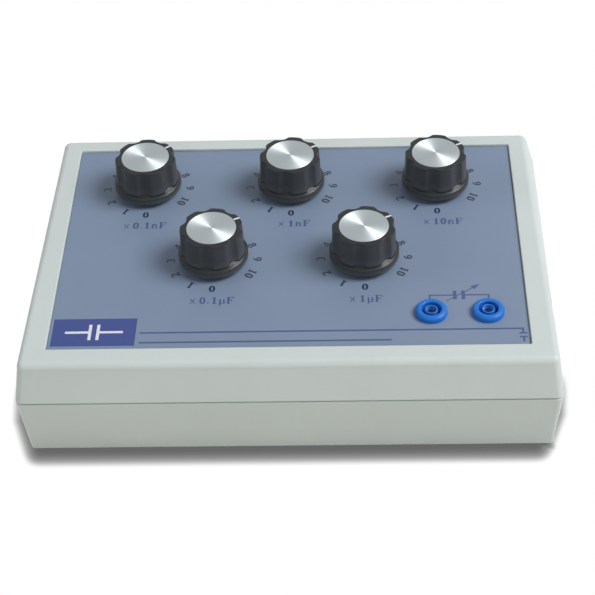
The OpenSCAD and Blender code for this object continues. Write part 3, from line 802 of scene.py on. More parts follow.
SIX = [(arc(0.33, 0.30, 0.20, 0.265, 0, 360, 24), None),
       ([(0.56, 0.95), (0.44, 0.91), (0.32, 0.82), (0.21, 0.68), (0.15, 0.50), (0.14, 0.32)], None)]
GLYPHS = {
    "0": [(arc(0.32, 0.50, 0.21, 0.465, 0, 360, 28), None)],
    "1": [([(0.34, 0.00), (0.34, 0.99)], STEM), ([(0.11, 0.03), (0.57, 0.03)], HAIR),
          ([(0.09, 0.83), (0.36, 0.96)], HAIR)],
    "2": [(arc(0.30, 0.70, 0.20, 0.265, 165, -30, 14) + [(0.30, 0.33), (0.08, 0.10)], None),
          ([(0.05, 0.08), (0.58, 0.08)], 0.15), ([(0.55, 0.08), (0.60, 0.28)], HAIR)],
    "3": [(arc(0.27, 0.745, 0.19, 0.22, 160, -90, 14), None),
          (arc(0.27, 0.28, 0.22, 0.245, 90, -160, 14), None)],
    "4": [([(0.42, 0.96), (0.05, 0.33)], HAIR), ([(0.03, 0.29), (0.62, 0.29)], 0.12),
          ([(0.43, 0.00), (0.43, 0.98)], STEM)],
    "5": [([(0.14, 0.92), (0.57, 0.92)], 0.14), ([(0.16, 0.95), (0.09, 0.53)], HAIR),
          (arc(0.26, 0.32, 0.235, 0.285, 130, -160, 16), None)],
    "6": SIX,
    "7": [([(0.05, 0.91), (0.60, 0.91)], 0.15), ([(0.55, 0.86), (0.27, 0.00)], 0.15),
          ([(0.07, 0.94), (0.04, 0.72)], HAIR)],
    "8": [(arc(0.32, 0.745, 0.165, 0.22, 0, 360, 22), None),
          (arc(0.32, 0.265, 0.20, 0.235, 0, 360, 22), None)],
    "9": turned_round(SIX),
    ".": [(bend(0.13, 0.09, 0.045, 0, 360, 12), 0.09)],
    "×": [([(0.10, 0.06), (0.60, 0.78)], 0.10), ([(0.10, 0.78), (0.60, 0.06)], 0.10)],
    "n": [([(0.16, 0.00), (0.16, 0.66)], 0.17), ([(0.04, 0.64), (0.17, 0.64)], HAIR),
          (arc(0.36, 0.44, 0.19, 0.20, 165, 0, 10) + [(0.55, 0.20), (0.55, 0.00)], 0.15),
          ([(0.03, 0.03), (0.29, 0.03)], HAIR), ([(0.43, 0.03), (0.68, 0.03)], HAIR)],
    "F": [([(0.22, 0.00), (0.22, 1.00)], STEM), ([(0.06, 0.97), (0.74, 0.97)], HAIR),
          ([(0.72, 0.99), (0.74, 0.74)], HAIR), ([(0.24, 0.52), (0.54, 0.52)], HAIR),
          ([(0.54, 0.64), (0.54, 0.40)], HAIR), ([(0.06, 0.03), (0.40, 0.03)], HAIR)],
    "µ": [([(0.15, -0.28), (0.15, 0.66)], 0.16), ([(0.55, 0.02), (0.55, 0.66)], 0.16),
          (bend(0.34, 0.22, 0.19, 200, 340, 10), 0.10), ([(0.54, 0.03), (0.68, 0.03)], HAIR)]}
ADVANCE = {".": 0.38, "n": 0.76, "F": 0.84, "µ": 0.74, "×": 1.0}
NUMERAL_ADVANCE = 0.72
print("glyphs:", *GLYPHS)


def line_of_ink(text, height, centre_x, centre_y, spread=0.0, stretch=1.0, weight=1.0):
    """A line of text, centred, with its strokes in millimetres. The spread parts the letters, the
    stretch widens them, and the weight thickens their strokes."""
    advances = [ADVANCE.get(letter, NUMERAL_ADVANCE) * stretch + spread for letter in text]
    pen = (spread - sum(advances)) / 2
    parts = []
    for letter, advance in zip(text, advances):
        for path, width in GLYPHS[letter]:
            moved = [(pen + x * stretch, y - 0.5) for x, y in path]
            points, faces = strip(moved, width, len(parts), weight)
            sized = [(centre_x + x * height, centre_y + y * height, z) for x, y, z in points]
            parts.append((sized, faces))
        pen += advance
    return joined(parts)


# %% [markdown]
# The eleven numbers stand in a ring around each dial, with their tops outwards, thirty degrees apart. A
# Geometry Nodes tree sets one number on each point of a ring, and a ring on each dial.

# %% Ring of dial numbers
NUMBERS = 11
NUMBER_H = 4.0
NUMBER_STRETCH = 1.12
NUMBER_WEIGHT = 1.25
NUMBER_RING_R = 20.16
NUMBER_STEP_DEG = 30.0
FIRST_NUMBER_DEG = -90.0


def numbers_tree():
    """Rings of numbered parts, one ring on every point."""
    tree, given, made = new_tree("dial_numbers", [
        ("Numbers", "Collection"), ("Count", "Int"), ("Radius", "Float"), ("First", "Float"),
        ("Step", "Float"), ("Finish", "Material")])
    reckon = maths(tree)
    index = tree.nodes.new("GeometryNodeInputIndex").outputs["Index"]
    angle = reckon("SUBTRACT", given["First"], reckon("MULTIPLY", index, given["Step"]))
    place = add(tree, "ShaderNodeCombineXYZ",
                X=reckon("MULTIPLY", reckon("COSINE", angle), given["Radius"]),
                Y=reckon("MULTIPLY", reckon("SINE", angle), given["Radius"]))
    upright = add(tree, "ShaderNodeCombineXYZ", Z=reckon("SUBTRACT", angle, pi / 2))
    facing = add(tree, "FunctionNodeEulerToRotation", Euler=upright.outputs["Vector"])
    spots = add(tree, "GeometryNodePoints", Count=given["Count"], Position=place.outputs["Vector"])
    parts = add(tree, "GeometryNodeCollectionInfo", Collection=given["Numbers"],
                Separate_Children=True, Reset_Children=True)
    numbered = add(tree, "GeometryNodeInstanceOnPoints", Points=spots.outputs[0],
                   Instance=parts.outputs["Instances"], Pick_Instance=True, Instance_Index=index,
                   Rotation=facing.outputs["Rotation"])
    dialled = add(tree, "GeometryNodeInstanceOnPoints", Points=given["Geometry"],
                  Instance=numbered.outputs["Instances"])
    close_tree(tree, dialled.outputs["Instances"], given["Finish"], made)
    return tree


numeral_parts = bpy.data.collections.new("numerals")
scene.collection.children.link(numeral_parts)
for number in range(NUMBERS):
    strokes = line_of_ink(str(number), NUMBER_H, 0, 0, 0.0, NUMBER_STRETCH, NUMBER_WEIGHT)
    numeral = piece(f"numeral_{number:02d}", strokes, dial_ink)
    scene.collection.objects.unlink(numeral)
    numeral_parts.objects.link(numeral)
dial_numbers = piece("dial_numbers", ([(x, y, 0) for x, y in dial_places], []), dial_ink)
grow(dial_numbers, numbers_tree(), Numbers=numeral_parts, Count=NUMBERS, Radius=NUMBER_RING_R * MM,
     First=radians(FIRST_NUMBER_DEG), Step=radians(NUMBER_STEP_DEG), Finish=dial_ink)
for numeral in list(numeral_parts.objects):
    discard(numeral)
bpy.data.collections.remove(numeral_parts)
dress(dial_numbers, "case", "panel_print")

# %% [markdown]
# Under each zero stands the multiplier of that dial, and two rules with a small capacitor sign close the
# panel at the front. A variable capacitor sign joins the two sockets. A plain dark block with a pale
# capacitor sign fills the front left corner.

# %% Multipliers
MULTIPLIERS = ["×0.1nF", "×1nF", "×10nF", "×0.1µF", "×1µF"]
MULTIPLIER_H = 4.4
MULTIPLIER_SPREAD = 0.06
MULTIPLIER_DROP = 28.1
MULTIPLIER_SHIFTS = [0.4, 1.9, 2.7, 0.5, 0.5]
lines = [line_of_ink(text, MULTIPLIER_H, x + shift, y - MULTIPLIER_DROP, MULTIPLIER_SPREAD)
         for text, (x, y), shift in zip(MULTIPLIERS, dial_places, MULTIPLIER_SHIFTS)]
multipliers = piece("multipliers", joined(lines), label_ink)
dress(multipliers, "case", "panel_print")

# %% Rules and signs
RULE_W = 1.0
WIRE_W = 0.8
ARROW_W = 0.5
PLATE_W = 1.6
RULE_LEFT = -66.1
UPPER_RULE_Y = PANEL_Y - 61.0
UPPER_RULE_RIGHT = 104.0
LOWER_RULE_Y = PANEL_Y - 67.3
LOWER_RULE_RIGHT = 46.0
END_PLATES_Y = (PANEL_Y - 63.9, PANEL_Y - 66.3)
END_PLATE_HALF = 1.7
END_LEAD_Y = PANEL_Y - 69.4
SIGN_Y = PANEL_Y - 38.55
SIGN_PLATE_HALF = 2.9
SIGN_PLATES_X = (75.05, 78.85)
SIGN_WIRES_X = (63.7, 90.2)
ARROW_TAIL = (71.1, PANEL_Y - 42.5)
ARROW_TIP = (84.9, PANEL_Y - 32.5)
ARROW_HEAD_L = 4.2
ARROW_HEAD_W = 2.7


def level(y, left, right, width):
    """Stroke along X."""
    return [(left, y), (right, y)], width


def upright(x, front, rear, width):
    """Stroke along Y."""
    return [(x, front), (x, rear)], width


def inked(strokes, first=0):
    """Strips of ink for several strokes, each a hair higher than the one before."""
    return joined([strip(path, width, first + i) for i, (path, width) in enumerate(strokes)])


def sign_strokes():
    """Strokes of the rules and the signs."""
    wires_y = socket_places[0][1] + SHANK_R
    left_x, right_x = SIGN_WIRES_X
    near, far = SIGN_PLATES_X
    strokes = [
        level(UPPER_RULE_Y, RULE_LEFT, UPPER_RULE_RIGHT + RULE_W / 2, RULE_W),
        level(LOWER_RULE_Y, RULE_LEFT, LOWER_RULE_RIGHT, RULE_W),
        upright(UPPER_RULE_RIGHT, UPPER_RULE_Y, END_PLATES_Y[0], RULE_W),
        upright(UPPER_RULE_RIGHT, END_PLATES_Y[1], END_LEAD_Y, RULE_W),
        upright(left_x, wires_y, SIGN_Y, WIRE_W),
        level(SIGN_Y, left_x - WIRE_W / 2, near, WIRE_W),
        level(SIGN_Y, far, right_x + WIRE_W / 2, WIRE_W),
        upright(right_x, wires_y, SIGN_Y, WIRE_W),
        ([ARROW_TAIL, ARROW_TIP], ARROW_W)]
    strokes += [level(y, UPPER_RULE_RIGHT - END_PLATE_HALF, UPPER_RULE_RIGHT + END_PLATE_HALF, RULE_W)
                for y in END_PLATES_Y]
    strokes += [upright(x, SIGN_Y - SIGN_PLATE_HALF, SIGN_Y + SIGN_PLATE_HALF, PLATE_W)
                for x in SIGN_PLATES_X]
    return strokes


def arrow_head():
    """Flat triangle of ink at the arrow's tip."""
    along = (Vector(ARROW_TIP) - Vector(ARROW_TAIL)).normalized()
    across = Vector((-along.y, along.x))
    tip = Vector(ARROW_TIP) + along * ARROW_HEAD_L / 2
    root = tip - along * ARROW_HEAD_L
    outline = [tip, root + across * ARROW_HEAD_W / 2, root - across * ARROW_HEAD_W / 2]
    low = [(p.x, p.y, PANEL_Z) for p in outline]
    high = [(p.x, p.y, PANEL_Z + INK_T * 2) for p in outline]
    return loft([low, high])


panel_signs = piece("panel_signs", joined([inked(sign_strokes()), arrow_head()]), label_ink)
dress(panel_signs, "case", "panel_print")

# %% Block with a pale sign
BLOCK_LEFT, BLOCK_RIGHT = -105.5, -67.95
BLOCK_FRONT, BLOCK_REAR = PANEL_Y - 69.15, PANEL_Y - 51.4
BLOCK_SIGN_HALF = 13.0
BLOCK_PLATE_GAP = 3.6
BLOCK_PLATE_HALF = 5.0
BLOCK_LINE_W = 1.4
BLOCK_SIGN_ORDER = 12
block_x = (BLOCK_LEFT + BLOCK_RIGHT) / 2
block_y = (BLOCK_FRONT + BLOCK_REAR) / 2
ground = level(block_y, BLOCK_LEFT, BLOCK_RIGHT, BLOCK_REAR - BLOCK_FRONT)
block = piece("print_block", inked([ground]), block_ink)
dress(block, "case", "panel_print")
pale_strokes = []
for side in (-1, 1):
    x = block_x + side * BLOCK_PLATE_GAP / 2
    pale_strokes += [upright(x, block_y - BLOCK_PLATE_HALF, block_y + BLOCK_PLATE_HALF, BLOCK_LINE_W),
                     level(block_y, x, block_x + side * BLOCK_SIGN_HALF, BLOCK_LINE_W)]
block_sign = piece("block_sign", inked(pale_strokes, BLOCK_SIGN_ORDER), pale_ink)
dress(block_sign, "case", "panel_print")

# %% [markdown]
# ## Knobs
# A knob is a black moulding with a thin skirt and a grip of seven lobes. Turned on a lathe it would be
# a plain cylinder, so a Geometry Nodes tree presses the flutes in. Each point of the profile
# carries how far it follows a flute and how much it climbs on the way, so the flutes run out along the
# sloping rim and the sloping skirt as they do on the moulding. The colour goes by height as painted
# light and shade: the foot of the skirt and the walls are painted paler, and the ledge between them and
# the top are painted darker, to even out the light that the lamps give them.

# %% Knob finish
knob_low, knob_high = box_mm("knob_2")
KNOB_Z = knob_low.z
KNOB_TOP_Z = knob_high.z
# Painted light and shade by height: the foot, skirt and walls are painted paler, and the ledge and top
# darker, to even out how the lamps light them.
FOOT_PAINTED_LIGHT = srgb(86, 89, 92)
SKIRT_PAINTED_LIGHT = srgb(64, 67, 69)
LEDGE_PAINTED_SHADE = srgb(45, 48, 50)
WALL_FOOT_PAINTED_LIGHT = srgb(80, 82, 86)
WALL_PAINTED_LIGHT = srgb(69, 71, 74)
TOP_PAINTED_SHADE = srgb(38, 41, 43)
KNOB_PAINTED_LIGHT_BANDS = (
    (KNOB_Z + 0.3, FOOT_PAINTED_LIGHT), (KNOB_Z + 2.5, SKIRT_PAINTED_LIGHT),
    (KNOB_Z + 3.2, LEDGE_PAINTED_SHADE), (KNOB_Z + 4.2, LEDGE_PAINTED_SHADE),
    (KNOB_Z + 4.8, WALL_FOOT_PAINTED_LIGHT), (KNOB_Z + 8.5, WALL_PAINTED_LIGHT),
    (KNOB_TOP_Z - 0.7, WALL_PAINTED_LIGHT), (KNOB_TOP_Z - 0.25, TOP_PAINTED_SHADE))


def knob_moulding():
    """Satin black moulding, with painted light at its foot and on its walls and painted shade on its
    ledge and its top.
    """
    finish = Finish("black_knob_moulding")
    at = add(finish.tree, "ShaderNodeSeparateXYZ", Vector=finish.place)
    rise = add(finish.tree, "ShaderNodeMapRange", Value=at.outputs["Z"],
               From_Min=KNOB_Z * MM, From_Max=KNOB_TOP_Z * MM)
    painted_bands = [((z - KNOB_Z) / (KNOB_TOP_Z - KNOB_Z), colour) for z, colour in KNOB_PAINTED_LIGHT_BANDS]
    finish.gloss(finish.noise(6, 3), 0.30, 0.40)
    finish.grain(finish.noise(0.6, 3), 0.006)
    finish.feed(Base_Color=colour_steps(finish.tree, rise.outputs["Result"], painted_bands),
                Specular_IOR_Level=0.12, Coat_Weight=0.18, Coat_Roughness=0.16)
    return finish.material


finishes["knob_bakelite"] = knob_moulding()
print("knob from", round(KNOB_Z, 2), "to", round(KNOB_TOP_Z, 2), "mm")

# %% Knob profile
cap_low, cap_high = box_mm("knob_cap_2")
bush_low, bush_high = box_mm("knob_bush_2")
SKIRT_R = 16.2
SKIRT_RIM_H = 3.1
SKIRT_RISE = 1.2
GRIP_R = 15.05
GRIP_TOP_R = 14.61
LOBES = 7
FLUTE_R = 5.0
FLUTE_DEPTH = 1.5
LOBE_SOFTNESS = 1.2
RIM_DROP = 0.15
CAP_R = 11.45
CAP_LIP = 0.5
RIM_R = CAP_R + CAP_LIP
SEAT_R = CAP_R + 0.05
HOLLOW_R = 9.5
BUSH_R = 5.05
KNOB_STEPS = LOBES * 32
GRIP_ROWS = 6
EDGE_R = 0.35
SKIRT_FOOT = ((0.3, 0.0), (0.08, 0.08), (0.0, 0.3))
SKIRT_SHOULDER = ((0.0, -0.3), (0.1, -0.06), (0.35, 0.17))
GRIP_ROOT = ((-0.08, 0.04), (0.0, 0.25))
GRIP_FOOT_H = 0.6
GRIP_HEAD_H = 0.2
CAP_LIP_EDGE = ((RIM_R + 0.12, -0.05), (RIM_R - 0.1, 0.0), (SEAT_R + 0.1, 0.0), (SEAT_R, -0.1))

skirt_slope = SKIRT_RISE / (SKIRT_R - GRIP_R + FLUTE_DEPTH)
rim_slope = RIM_DROP / (GRIP_TOP_R - RIM_R)
skirt_top_z = KNOB_Z + SKIRT_RIM_H
root_z = skirt_top_z + skirt_slope * (SKIRT_R - GRIP_R)
edge_z = KNOB_TOP_Z - RIM_DROP


def knob_profile():
    """Rows of radius, height, follow and climb, from the bush hole round the outside to the cap."""
    rows = [(0, bush_high.z), (BUSH_R, bush_high.z), (BUSH_R, bush_low.z), (HOLLOW_R, bush_low.z),
            (HOLLOW_R, KNOB_Z)]
    rows += [(SKIRT_R - inset, KNOB_Z + rise) for inset, rise in SKIRT_FOOT]
    rows += [(SKIRT_R - inset, skirt_top_z + rise) for inset, rise in SKIRT_SHOULDER]
    profile = [(radius, height, 0.0, 0.0) for radius, height in rows]
    shoulder_r = rows[-1][0]
    for share in (0.35, 0.7, 0.9):
        radius = shoulder_r - share * (shoulder_r - GRIP_R)
        profile.append((radius, skirt_top_z + skirt_slope * (SKIRT_R - radius), share, skirt_slope))
    profile += [(GRIP_R - inset, root_z + rise, 1.0, skirt_slope) for inset, rise in GRIP_ROOT]
    low_z = root_z + GRIP_FOOT_H
    high_z = edge_z - EDGE_R - GRIP_HEAD_H
    for row in range(GRIP_ROWS + 1):
        share = row / GRIP_ROWS
        radius = GRIP_R - share * (GRIP_R - GRIP_TOP_R)
        climb = skirt_slope * (1 - share) + rim_slope * share
        profile.append((radius, low_z + share * (high_z - low_z), 1.0, climb))
    for radius, height in bend(GRIP_TOP_R - EDGE_R, edge_z - EDGE_R, EDGE_R, 0, 84, 6):
        profile.append((radius, height, 1.0, rim_slope))
    for share in (0.25, 0.5, 0.75):
        radius = GRIP_TOP_R - EDGE_R - share * (GRIP_TOP_R - EDGE_R - RIM_R)
        profile.append((radius, KNOB_TOP_Z - rim_slope * (radius - RIM_R), 1 - share, rim_slope))
    profile += [(radius, KNOB_TOP_Z + rise, 0.0, 0.0) for radius, rise in CAP_LIP_EDGE]
    return profile + [(radius, cap_low.z, 0.0, 0.0) for radius in (SEAT_R, 0)]


print("knob profile:", len(knob_profile()), "rows")

# %% [markdown]
# The tree folds every point's angle onto one lobe, works out how deep the flute is there, and moves
# the point towards the axis by that depth, as far as its row follows.

# %% Tree that presses the flutes
AXIS_GUARD = 1e-6


def flutes_tree():
    """Presses round flutes into a turned grip, by each point's follow and climb."""
    tree, given, made = new_tree("press_flutes", [
        ("Lobes", "Int"), ("Grip Radius", "Float"), ("Flute Radius", "Float"), ("Flute Depth", "Float"),
        ("Softness", "Float"), ("Finish", "Material")])
    reckon = maths(tree)
    grip, flute = given["Grip Radius"], given["Flute Radius"]
    position = tree.nodes.new("GeometryNodeInputPosition").outputs["Position"]
    x, y, z = add(tree, "ShaderNodeSeparateXYZ", Vector=position).outputs
    half_step = reckon("DIVIDE", pi, given["Lobes"])
    folded = reckon("WRAP", reckon("ARCTAN2", y, x), half_step, reckon("MULTIPLY", half_step, -1.0))
    off_flute = reckon("SUBTRACT", half_step, reckon("ABSOLUTE", folded))
    reach = reckon("ADD", reckon("SUBTRACT", grip, given["Flute Depth"]), flute)
    across = reckon("MULTIPLY", reach, reckon("SINE", off_flute))
    left_over = reckon("SUBTRACT", reckon("MULTIPLY", flute, flute), reckon("MULTIPLY", across, across))
    chord = reckon("SQRT", reckon("MAXIMUM", left_over, 0.0))
    wall = reckon("SUBTRACT", reckon("MULTIPLY", reach, reckon("COSINE", off_flute)), chord)
    depth = reckon("SUBTRACT", grip, reckon("SMOOTH_MIN", wall, grip, given["Softness"]))
    follow, climb = (add(tree, "GeometryNodeInputNamedAttribute", Name=name).outputs[0]
                     for name in ("follow", "climb"))
    inward = reckon("MULTIPLY", depth, follow)
    radius = reckon("SQRT", reckon("ADD", reckon("MULTIPLY", x, x), reckon("MULTIPLY", y, y)))
    kept = reckon("DIVIDE", reckon("SUBTRACT", radius, inward), reckon("MAXIMUM", radius, AXIS_GUARD))
    place = add(tree, "ShaderNodeCombineXYZ",
                X=reckon("MULTIPLY", x, kept), Y=reckon("MULTIPLY", y, kept),
                Z=reckon("ADD", z, reckon("MULTIPLY", inward, climb)))
    pressed = add(tree, "GeometryNodeSetPosition", Geometry=given["Geometry"],
                  Position=place.outputs["Vector"])
    close_tree(tree, pressed.outputs["Geometry"], given["Finish"], made)
    return tree


# %% Make one knob, then place five
POINTER_DEG = 30.0
KNOB_SLIP_DEG = {"decade_1": 8.0}
SET_SCREW_DEG = 1.5 * 360 / LOBES
SET_SCREW_R = 1.55


def master_knob():
    profile = knob_profile()
    finish = finishes["knob_bakelite"]
    knob = piece("master_knob", lathe([row[:2] for row in profile], KNOB_STEPS), finish)
    for index, name in ((2, "follow"), (3, "climb")):
        values = [row[index] for row in profile for _ in range(KNOB_STEPS if row[0] else 1)]
        knob.data.attributes.new(name, "FLOAT", "POINT").data.foreach_set("value", values)
    grow(knob, flutes_tree(), Lobes=LOBES, Grip_Radius=GRIP_R * MM, Flute_Radius=FLUTE_R * MM,
         Flute_Depth=FLUTE_DEPTH * MM, Softness=LOBE_SOFTNESS * MM, Finish=finish)
    for name in ("follow", "climb"):
        knob.data.attributes.remove(knob.data.attributes[name])
    return knob


def placed(master, name, decade):
    """Copy of a master piece at its dial, turned to where the knob points."""
    turn = radians(POINTER_DEG + KNOB_SLIP_DEG.get(decade, 0.0))
    at = Matrix.Translation(Vector((dials[decade].x, dials[decade].y, 0)) * MM)
    mesh = master.data.copy()
    mesh.name = name
    mesh.transform(at @ Matrix.Rotation(turn, 4, "Z"))
    obj = bpy.data.objects.new(name, mesh)
    scene.collection.objects.link(obj)
    return obj


def on_each_dial(master, name, slot, node=None):
    """Dresses a copy of a master piece for every dial, then removes the master."""
    for decade in dials:
        number = decade[-1]
        stands_for = [f"{node}_{number}"] if node else []
        dress(placed(master, f"{name}_{number}", decade), decade, slot, *stands_for)
    discard(master)


knob = master_knob()
hole = rods("set_screw_hole", [(0, 0)], SET_SCREW_R, 0, SKIRT_R, finishes["knob_bakelite"])
hole_at = Matrix.Translation((0, 0, middle("knob_set_screw_2").z * MM))
hole_turn = Matrix.Rotation(radians(SET_SCREW_DEG), 4, "Z") @ Matrix.Rotation(pi / 2, 4, "Y")
hole.data.transform(hole_at @ hole_turn)
carve(knob, hole, "DIFFERENCE")
on_each_dial(knob, "knob_grip", "knob_bakelite", "knob")

# %% [markdown]
# The cap is a thin disc with a turned edge. The pointer is white paint on the rim of one lobe, here a
# thin strip laid on the rim with no groove cut. The paint follows the slope of the rim and runs just
# over its edge.

# %% Caps
CAP_BEVEL = 0.2
CAP_STEPS = 96
POLE_R = 1e-7


def around_uv(mesh):
    """UV map with the angle along U and the radius along V."""
    layer = mesh.uv_layers.new(name=CAP_UV)
    for face in mesh.polygons:
        facing = atan2(face.center.y, face.center.x)
        for loop in face.loop_indices:
            point = mesh.vertices[mesh.loops[loop].vertex_index].co
            radius = hypot(point.x, point.y)
            swing = atan2(point.y, point.x) - facing if radius > POLE_R else 0.0
            swing = (swing + pi) % (2 * pi) - pi
            layer.data[loop].uv = ((facing + swing) / (2 * pi), radius / (CAP_R * MM))


cap_profile = [(0, cap_high.z)]
cap_profile += [(CAP_R * share, cap_high.z) for share in (0.15, 0.4, 0.7, 0.95)]
cap_profile += bend(CAP_R - CAP_BEVEL, cap_high.z - CAP_BEVEL, CAP_BEVEL, 90, 0, 4)
cap_profile += [(CAP_R, cap_low.z), (0, cap_low.z)]
cap = piece("master_cap", lathe(cap_profile, CAP_STEPS), finishes["cap_aluminium"])
around_uv(cap.data)
on_each_dial(cap, "cap_disc", "cap_aluminium", "knob_cap")

# %% Pointers
POINTER_W = 1.0
PAINT_T = 0.03
PAINT_FACING = 3.0
PAINT_TAIL = 0.3
PAINT_SINK = 0.01


def pointer_skin():
    """Strip of paint along +X: over the rim, round its edge and a little way down the lobe."""
    rim_w = GRIP_TOP_R - EDGE_R - RIM_R
    path = [(RIM_R - PAINT_TAIL, KNOB_TOP_Z), (RIM_R, KNOB_TOP_Z - PAINT_SINK)]
    path += [(RIM_R + share * rim_w, KNOB_TOP_Z - rim_slope * share * rim_w)
             for share in (0.1, 0.5, 0.9)]
    path += bend(GRIP_TOP_R - EDGE_R, edge_z - EDGE_R, EDGE_R, 80, 20, 5)
    half = POINTER_W / 2
    away_from = Vector((GRIP_TOP_R - PAINT_FACING, edge_z - PAINT_FACING))
    rings = []
    for x, z in path:
        lift = (Vector((x, z)) - away_from).normalized() * PAINT_T
        rings.append([(x - lift.x, -half, z - lift.y), (x + lift.x, -half, z + lift.y),
                      (x + lift.x, half, z + lift.y), (x - lift.x, half, z - lift.y)])
    return loft(rings)


pointer = piece("master_pointer", pointer_skin(), pale_ink)
on_each_dial(pointer, "pointer_mark", "pointer_paint")

# %% [markdown]
# ## Sockets
# A shrouded socket is a blue moulding with a rounded flange. A round slot takes the plug's shroud, the
# core inside it holds the metal contact, and a threaded shank goes down through the deck. The whole
# section is one lathe profile that closes on itself.

# %% Socket bodies
FLANGE_R = 7.3
FLANGE_ROUND = 1.7
SLOT_R = 4.4
CORE_R = 3.0
CORE_DROP = 0.5
MOUTH_R = 2.2
CONTACT_R = 2.43
CONTACT_DEPTH = 17.0
TAIL_R = 1.25
SLOT_DEPTH = 20.0
LIP_R = 0.6
CORE_ROUND = 0.35
SOCKET_STEPS = 72


def socket_profile(low_z, flange_z, contact_z):
    """Section of a socket between its lowest and highest point, with the top of its contact."""
    core_z = flange_z - CORE_DROP
    slot_z = flange_z - SLOT_DEPTH
    contact_low_z = contact_z - CONTACT_DEPTH
    profile = [(SHANK_R, low_z), (SHANK_R, PANEL_Z), (FLANGE_R, PANEL_Z)]
    profile += bend(FLANGE_R - FLANGE_ROUND, flange_z - FLANGE_ROUND, FLANGE_ROUND, 0, 90, 10)
    profile.append((FLANGE_R - FLANGE_ROUND - 0.1, flange_z))
    profile += bend(SLOT_R + LIP_R, flange_z - LIP_R, LIP_R, 90, 180, 5)
    profile += [(SLOT_R, slot_z), (CORE_R, slot_z)]
    profile += bend(CORE_R - CORE_ROUND, core_z - CORE_ROUND, CORE_ROUND, 0, 90, 4)
    profile += bend(MOUTH_R + CORE_ROUND, core_z - CORE_ROUND, CORE_ROUND, 90, 180, 4)
    profile += [(MOUTH_R, contact_z), (CONTACT_R, contact_z), (CONTACT_R, contact_low_z),
                (TAIL_R, contact_low_z), (TAIL_R, low_z)]
    return profile


for side, (x, y) in zip(("left", "right"), socket_places):
    low, high = box_mm(f"socket_body_{side}")
    section = socket_profile(low.z, high.z, box_mm(f"socket_contact_{side}")[1].z)
    socket = piece(f"socket_{side}", lathe(section, SOCKET_STEPS), finishes["socket_plastic"])
    socket.data.transform(Matrix.Translation(Vector((x, y, 0)) * MM))
    dress(socket, "case", "socket_plastic", f"socket_body_{side}")

# %% [markdown]
# ## Everything else
# The remaining solids keep their shape from the frame: the panel plate, the screws, and the switches,
# board, capacitors and leads inside. Each takes the finish of its material slot.

# %% Finish the solids that stay
kept = 0
for part in frame["record"]["subparts"]:
    solid = frame["nodes"][part["node"]]
    solid.data.materials.clear()
    solid.data.materials.append(finishes[part["material_slot"]])
    kept += not solid.hide_render
print("solids that stay:", kept)

# %% [markdown]
# ## Floor and light
# The photograph has a white ground and one broad soft light from the right, low enough to drop soft
# shadows to the left of the knobs. A large lamp on the right is the key, one behind it gives glints
# alone, soft ones on the left and in front fill without a glint, and the sky lifts the rest. To the
# camera the floor is an even white, and in place of the lamps' own shadow its material draws the soft
# dark band that the photograph has close around the foot of the box. For the light on the box it is a
# plain pale floor.

# %% Floor
FLOOR_HALF = 6.0
SHADE_STEPS = ((0.0, 103), (0.22, 104), (0.38, 116), (0.55, 139), (0.64, 156), (0.73, 180), (0.82, 210),
               (0.91, 238), (1.0, 255))
BASE_HALF = (113.5, 79.5)
BASE_RUN = 7.0
APRON_MIDDLE = -1.8
APRON_SIDES = ((111.7, 0.36), (116.0, 0.11))
APRON_FRONT = 80.5
APRON_BACK = 58.0
APRON_RUNS = (11.3, 12.8, 24.0)


def away(reckon, *reaches):
    """How far a point lies outside a shape, by each side's distance and the run over which it counts."""
    total = 0.0
    for reach, run in reaches:
        share = reckon("MAXIMUM", reckon("DIVIDE", reach, run), 0.0)
        square = reckon("MULTIPLY", share, share)
        total = reckon("MULTIPLY_ADD", square, square, total)
    return reckon("SQRT", reckon("SQRT", total))


def seen_rays(tree):
    """One for rays from the camera, in reflections and through glass, and zero for light on the box."""
    reckon = maths(tree)
    rays = tree.nodes.new("ShaderNodeLightPath").outputs
    mirrored = reckon("MAXIMUM", rays["Is Glossy Ray"], rays["Is Transmission Ray"])
    return reckon("MAXIMUM", rays["Is Camera Ray"], mirrored)


def choose(tree, lighting, seen, output):
    """Gives an output one shader for the light on the box, and another for what is seen."""
    mix = add(tree, "ShaderNodeMixShader", Fac=seen_rays(tree))
    tree.links.new(lighting, mix.inputs[1])
    tree.links.new(seen, mix.inputs[2])
    tree.links.new(mix.outputs["Shader"], tree.nodes[output].inputs["Surface"])


def floor_finish():
    """White to the camera and in reflections, with a soft shade close to the box."""
    finish = Finish("white_floor")
    finish.feed(Base_Color=srgb(226, 222, 214), Roughness=0.9)
    tree = finish.tree
    reckon = maths(tree)
    at = add(tree, "ShaderNodeSeparateXYZ", Vector=finish.place)
    x = reckon("DIVIDE", at.outputs["X"], MM)
    y = reckon("DIVIDE", at.outputs["Y"], MM)
    around_x = reckon("SUBTRACT", reckon("ABSOLUTE", x), BASE_HALF[0])
    around_y = reckon("SUBTRACT", reckon("ABSOLUTE", y), BASE_HALF[1])
    around = away(reckon, (around_x, BASE_RUN), (around_y, BASE_RUN))
    ahead = reckon("SUBTRACT", reckon("MULTIPLY", y, -1.0), APRON_FRONT)
    half = reckon("MINIMUM", *(reckon("MULTIPLY_ADD", ahead, -flare, edge)
                               for edge, flare in APRON_SIDES))
    off_middle = reckon("ABSOLUTE", reckon("SUBTRACT", x, APRON_MIDDLE))
    aside = reckon("SUBTRACT", off_middle, half)
    behind = reckon("ADD", y, APRON_BACK)
    apron = away(reckon, *zip((aside, ahead, behind), APRON_RUNS))
    nearest = reckon("MINIMUM", around, apron)
    shades = [(position, srgb(grey, grey, grey)) for position, grey in SHADE_STEPS]
    seen = add(tree, "ShaderNodeEmission", Color=colour_steps(tree, nearest, shades))
    choose(tree, finish.shader.outputs["BSDF"], seen.outputs["Emission"], "Material Output")
    return finish.material


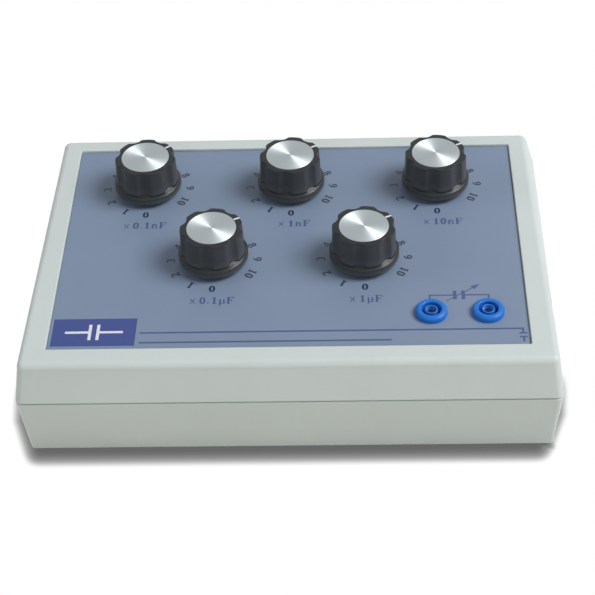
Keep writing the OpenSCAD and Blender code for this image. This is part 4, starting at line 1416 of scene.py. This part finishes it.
floor_mesh = bpy.data.meshes.new("floor")
floor_corners = [(-FLOOR_HALF, -FLOOR_HALF, 0), (FLOOR_HALF, -FLOOR_HALF, 0),
                 (FLOOR_HALF, FLOOR_HALF, 0), (-FLOOR_HALF, FLOOR_HALF, 0)]
floor_mesh.from_pydata(floor_corners, [], [(0, 1, 2, 3)])
floor_mesh.materials.append(floor_finish())
floor = bpy.data.objects.new("floor", floor_mesh)
scene.collection.objects.link(floor)
floor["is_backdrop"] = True
print("floor:", 2 * FLOOR_HALF, "m square")

# %% Lamps and sky
SKY_LIGHT = 0.16
LAMP_AIM = Vector((0, 0, 0.05))
WHITE = (1.0, 1.0, 1.0, 1.0)


def lamp(name, place, size, watts, tint=WHITE[:3], kinds=("diffuse", "glossy")):
    """Soft square lamp, aimed at the box, for the kinds of light named. Places in metres."""
    light = bpy.data.lights.new(name, "AREA")
    light.shape = "SQUARE"
    light.size = size
    light.energy = watts
    light.color = tint
    obj = bpy.data.objects.new(name, light)
    obj.location = place
    obj.rotation_euler = (LAMP_AIM - Vector(place)).to_track_quat("-Z", "Y").to_euler()
    obj.visible_diffuse = "diffuse" in kinds
    obj.visible_glossy = "glossy" in kinds
    scene.collection.objects.link(obj)


def sky():
    """White to the camera and in reflections, and a softer light on the box."""
    world = bpy.data.worlds.new("sky")
    world.use_nodes = True
    tree = world.node_tree
    seen = wire(tree, tree.nodes["Background"], Strength=1.0, Color=WHITE)
    lighting = add(tree, "ShaderNodeBackground", Strength=SKY_LIGHT, Color=WHITE)
    choose(tree, lighting.outputs["Background"], seen.outputs["Background"], "World Output")
    return world


lamp("key", (2.57, -0.12, 3.06), 2.0, 136)
lamp("rear", (0.95, 0.62, 1.68), 0.7, 12, kinds=("glossy",))
lamp("left", (-1.75, 0.1, 0.95), 1.0, 6, kinds=("diffuse",))
lamp("front", (-0.2, -1.75, 0.75), 1.0, 6.2, (1.0, 0.97, 0.94), ("diffuse",))
scene.world = sky()
print("lights:", len(bpy.data.lights))

# %% [markdown]
# ## The dressed model's box
# The last cell prints the lowest and highest corner of the dressed model, in millimetres. The dressed
# model has to stay inside the solids' box.

# %% Size of the dressed model
low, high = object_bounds()
print("visual box", [round(c / MM, 2) for c in low], [round(c / MM, 2) for c in high])
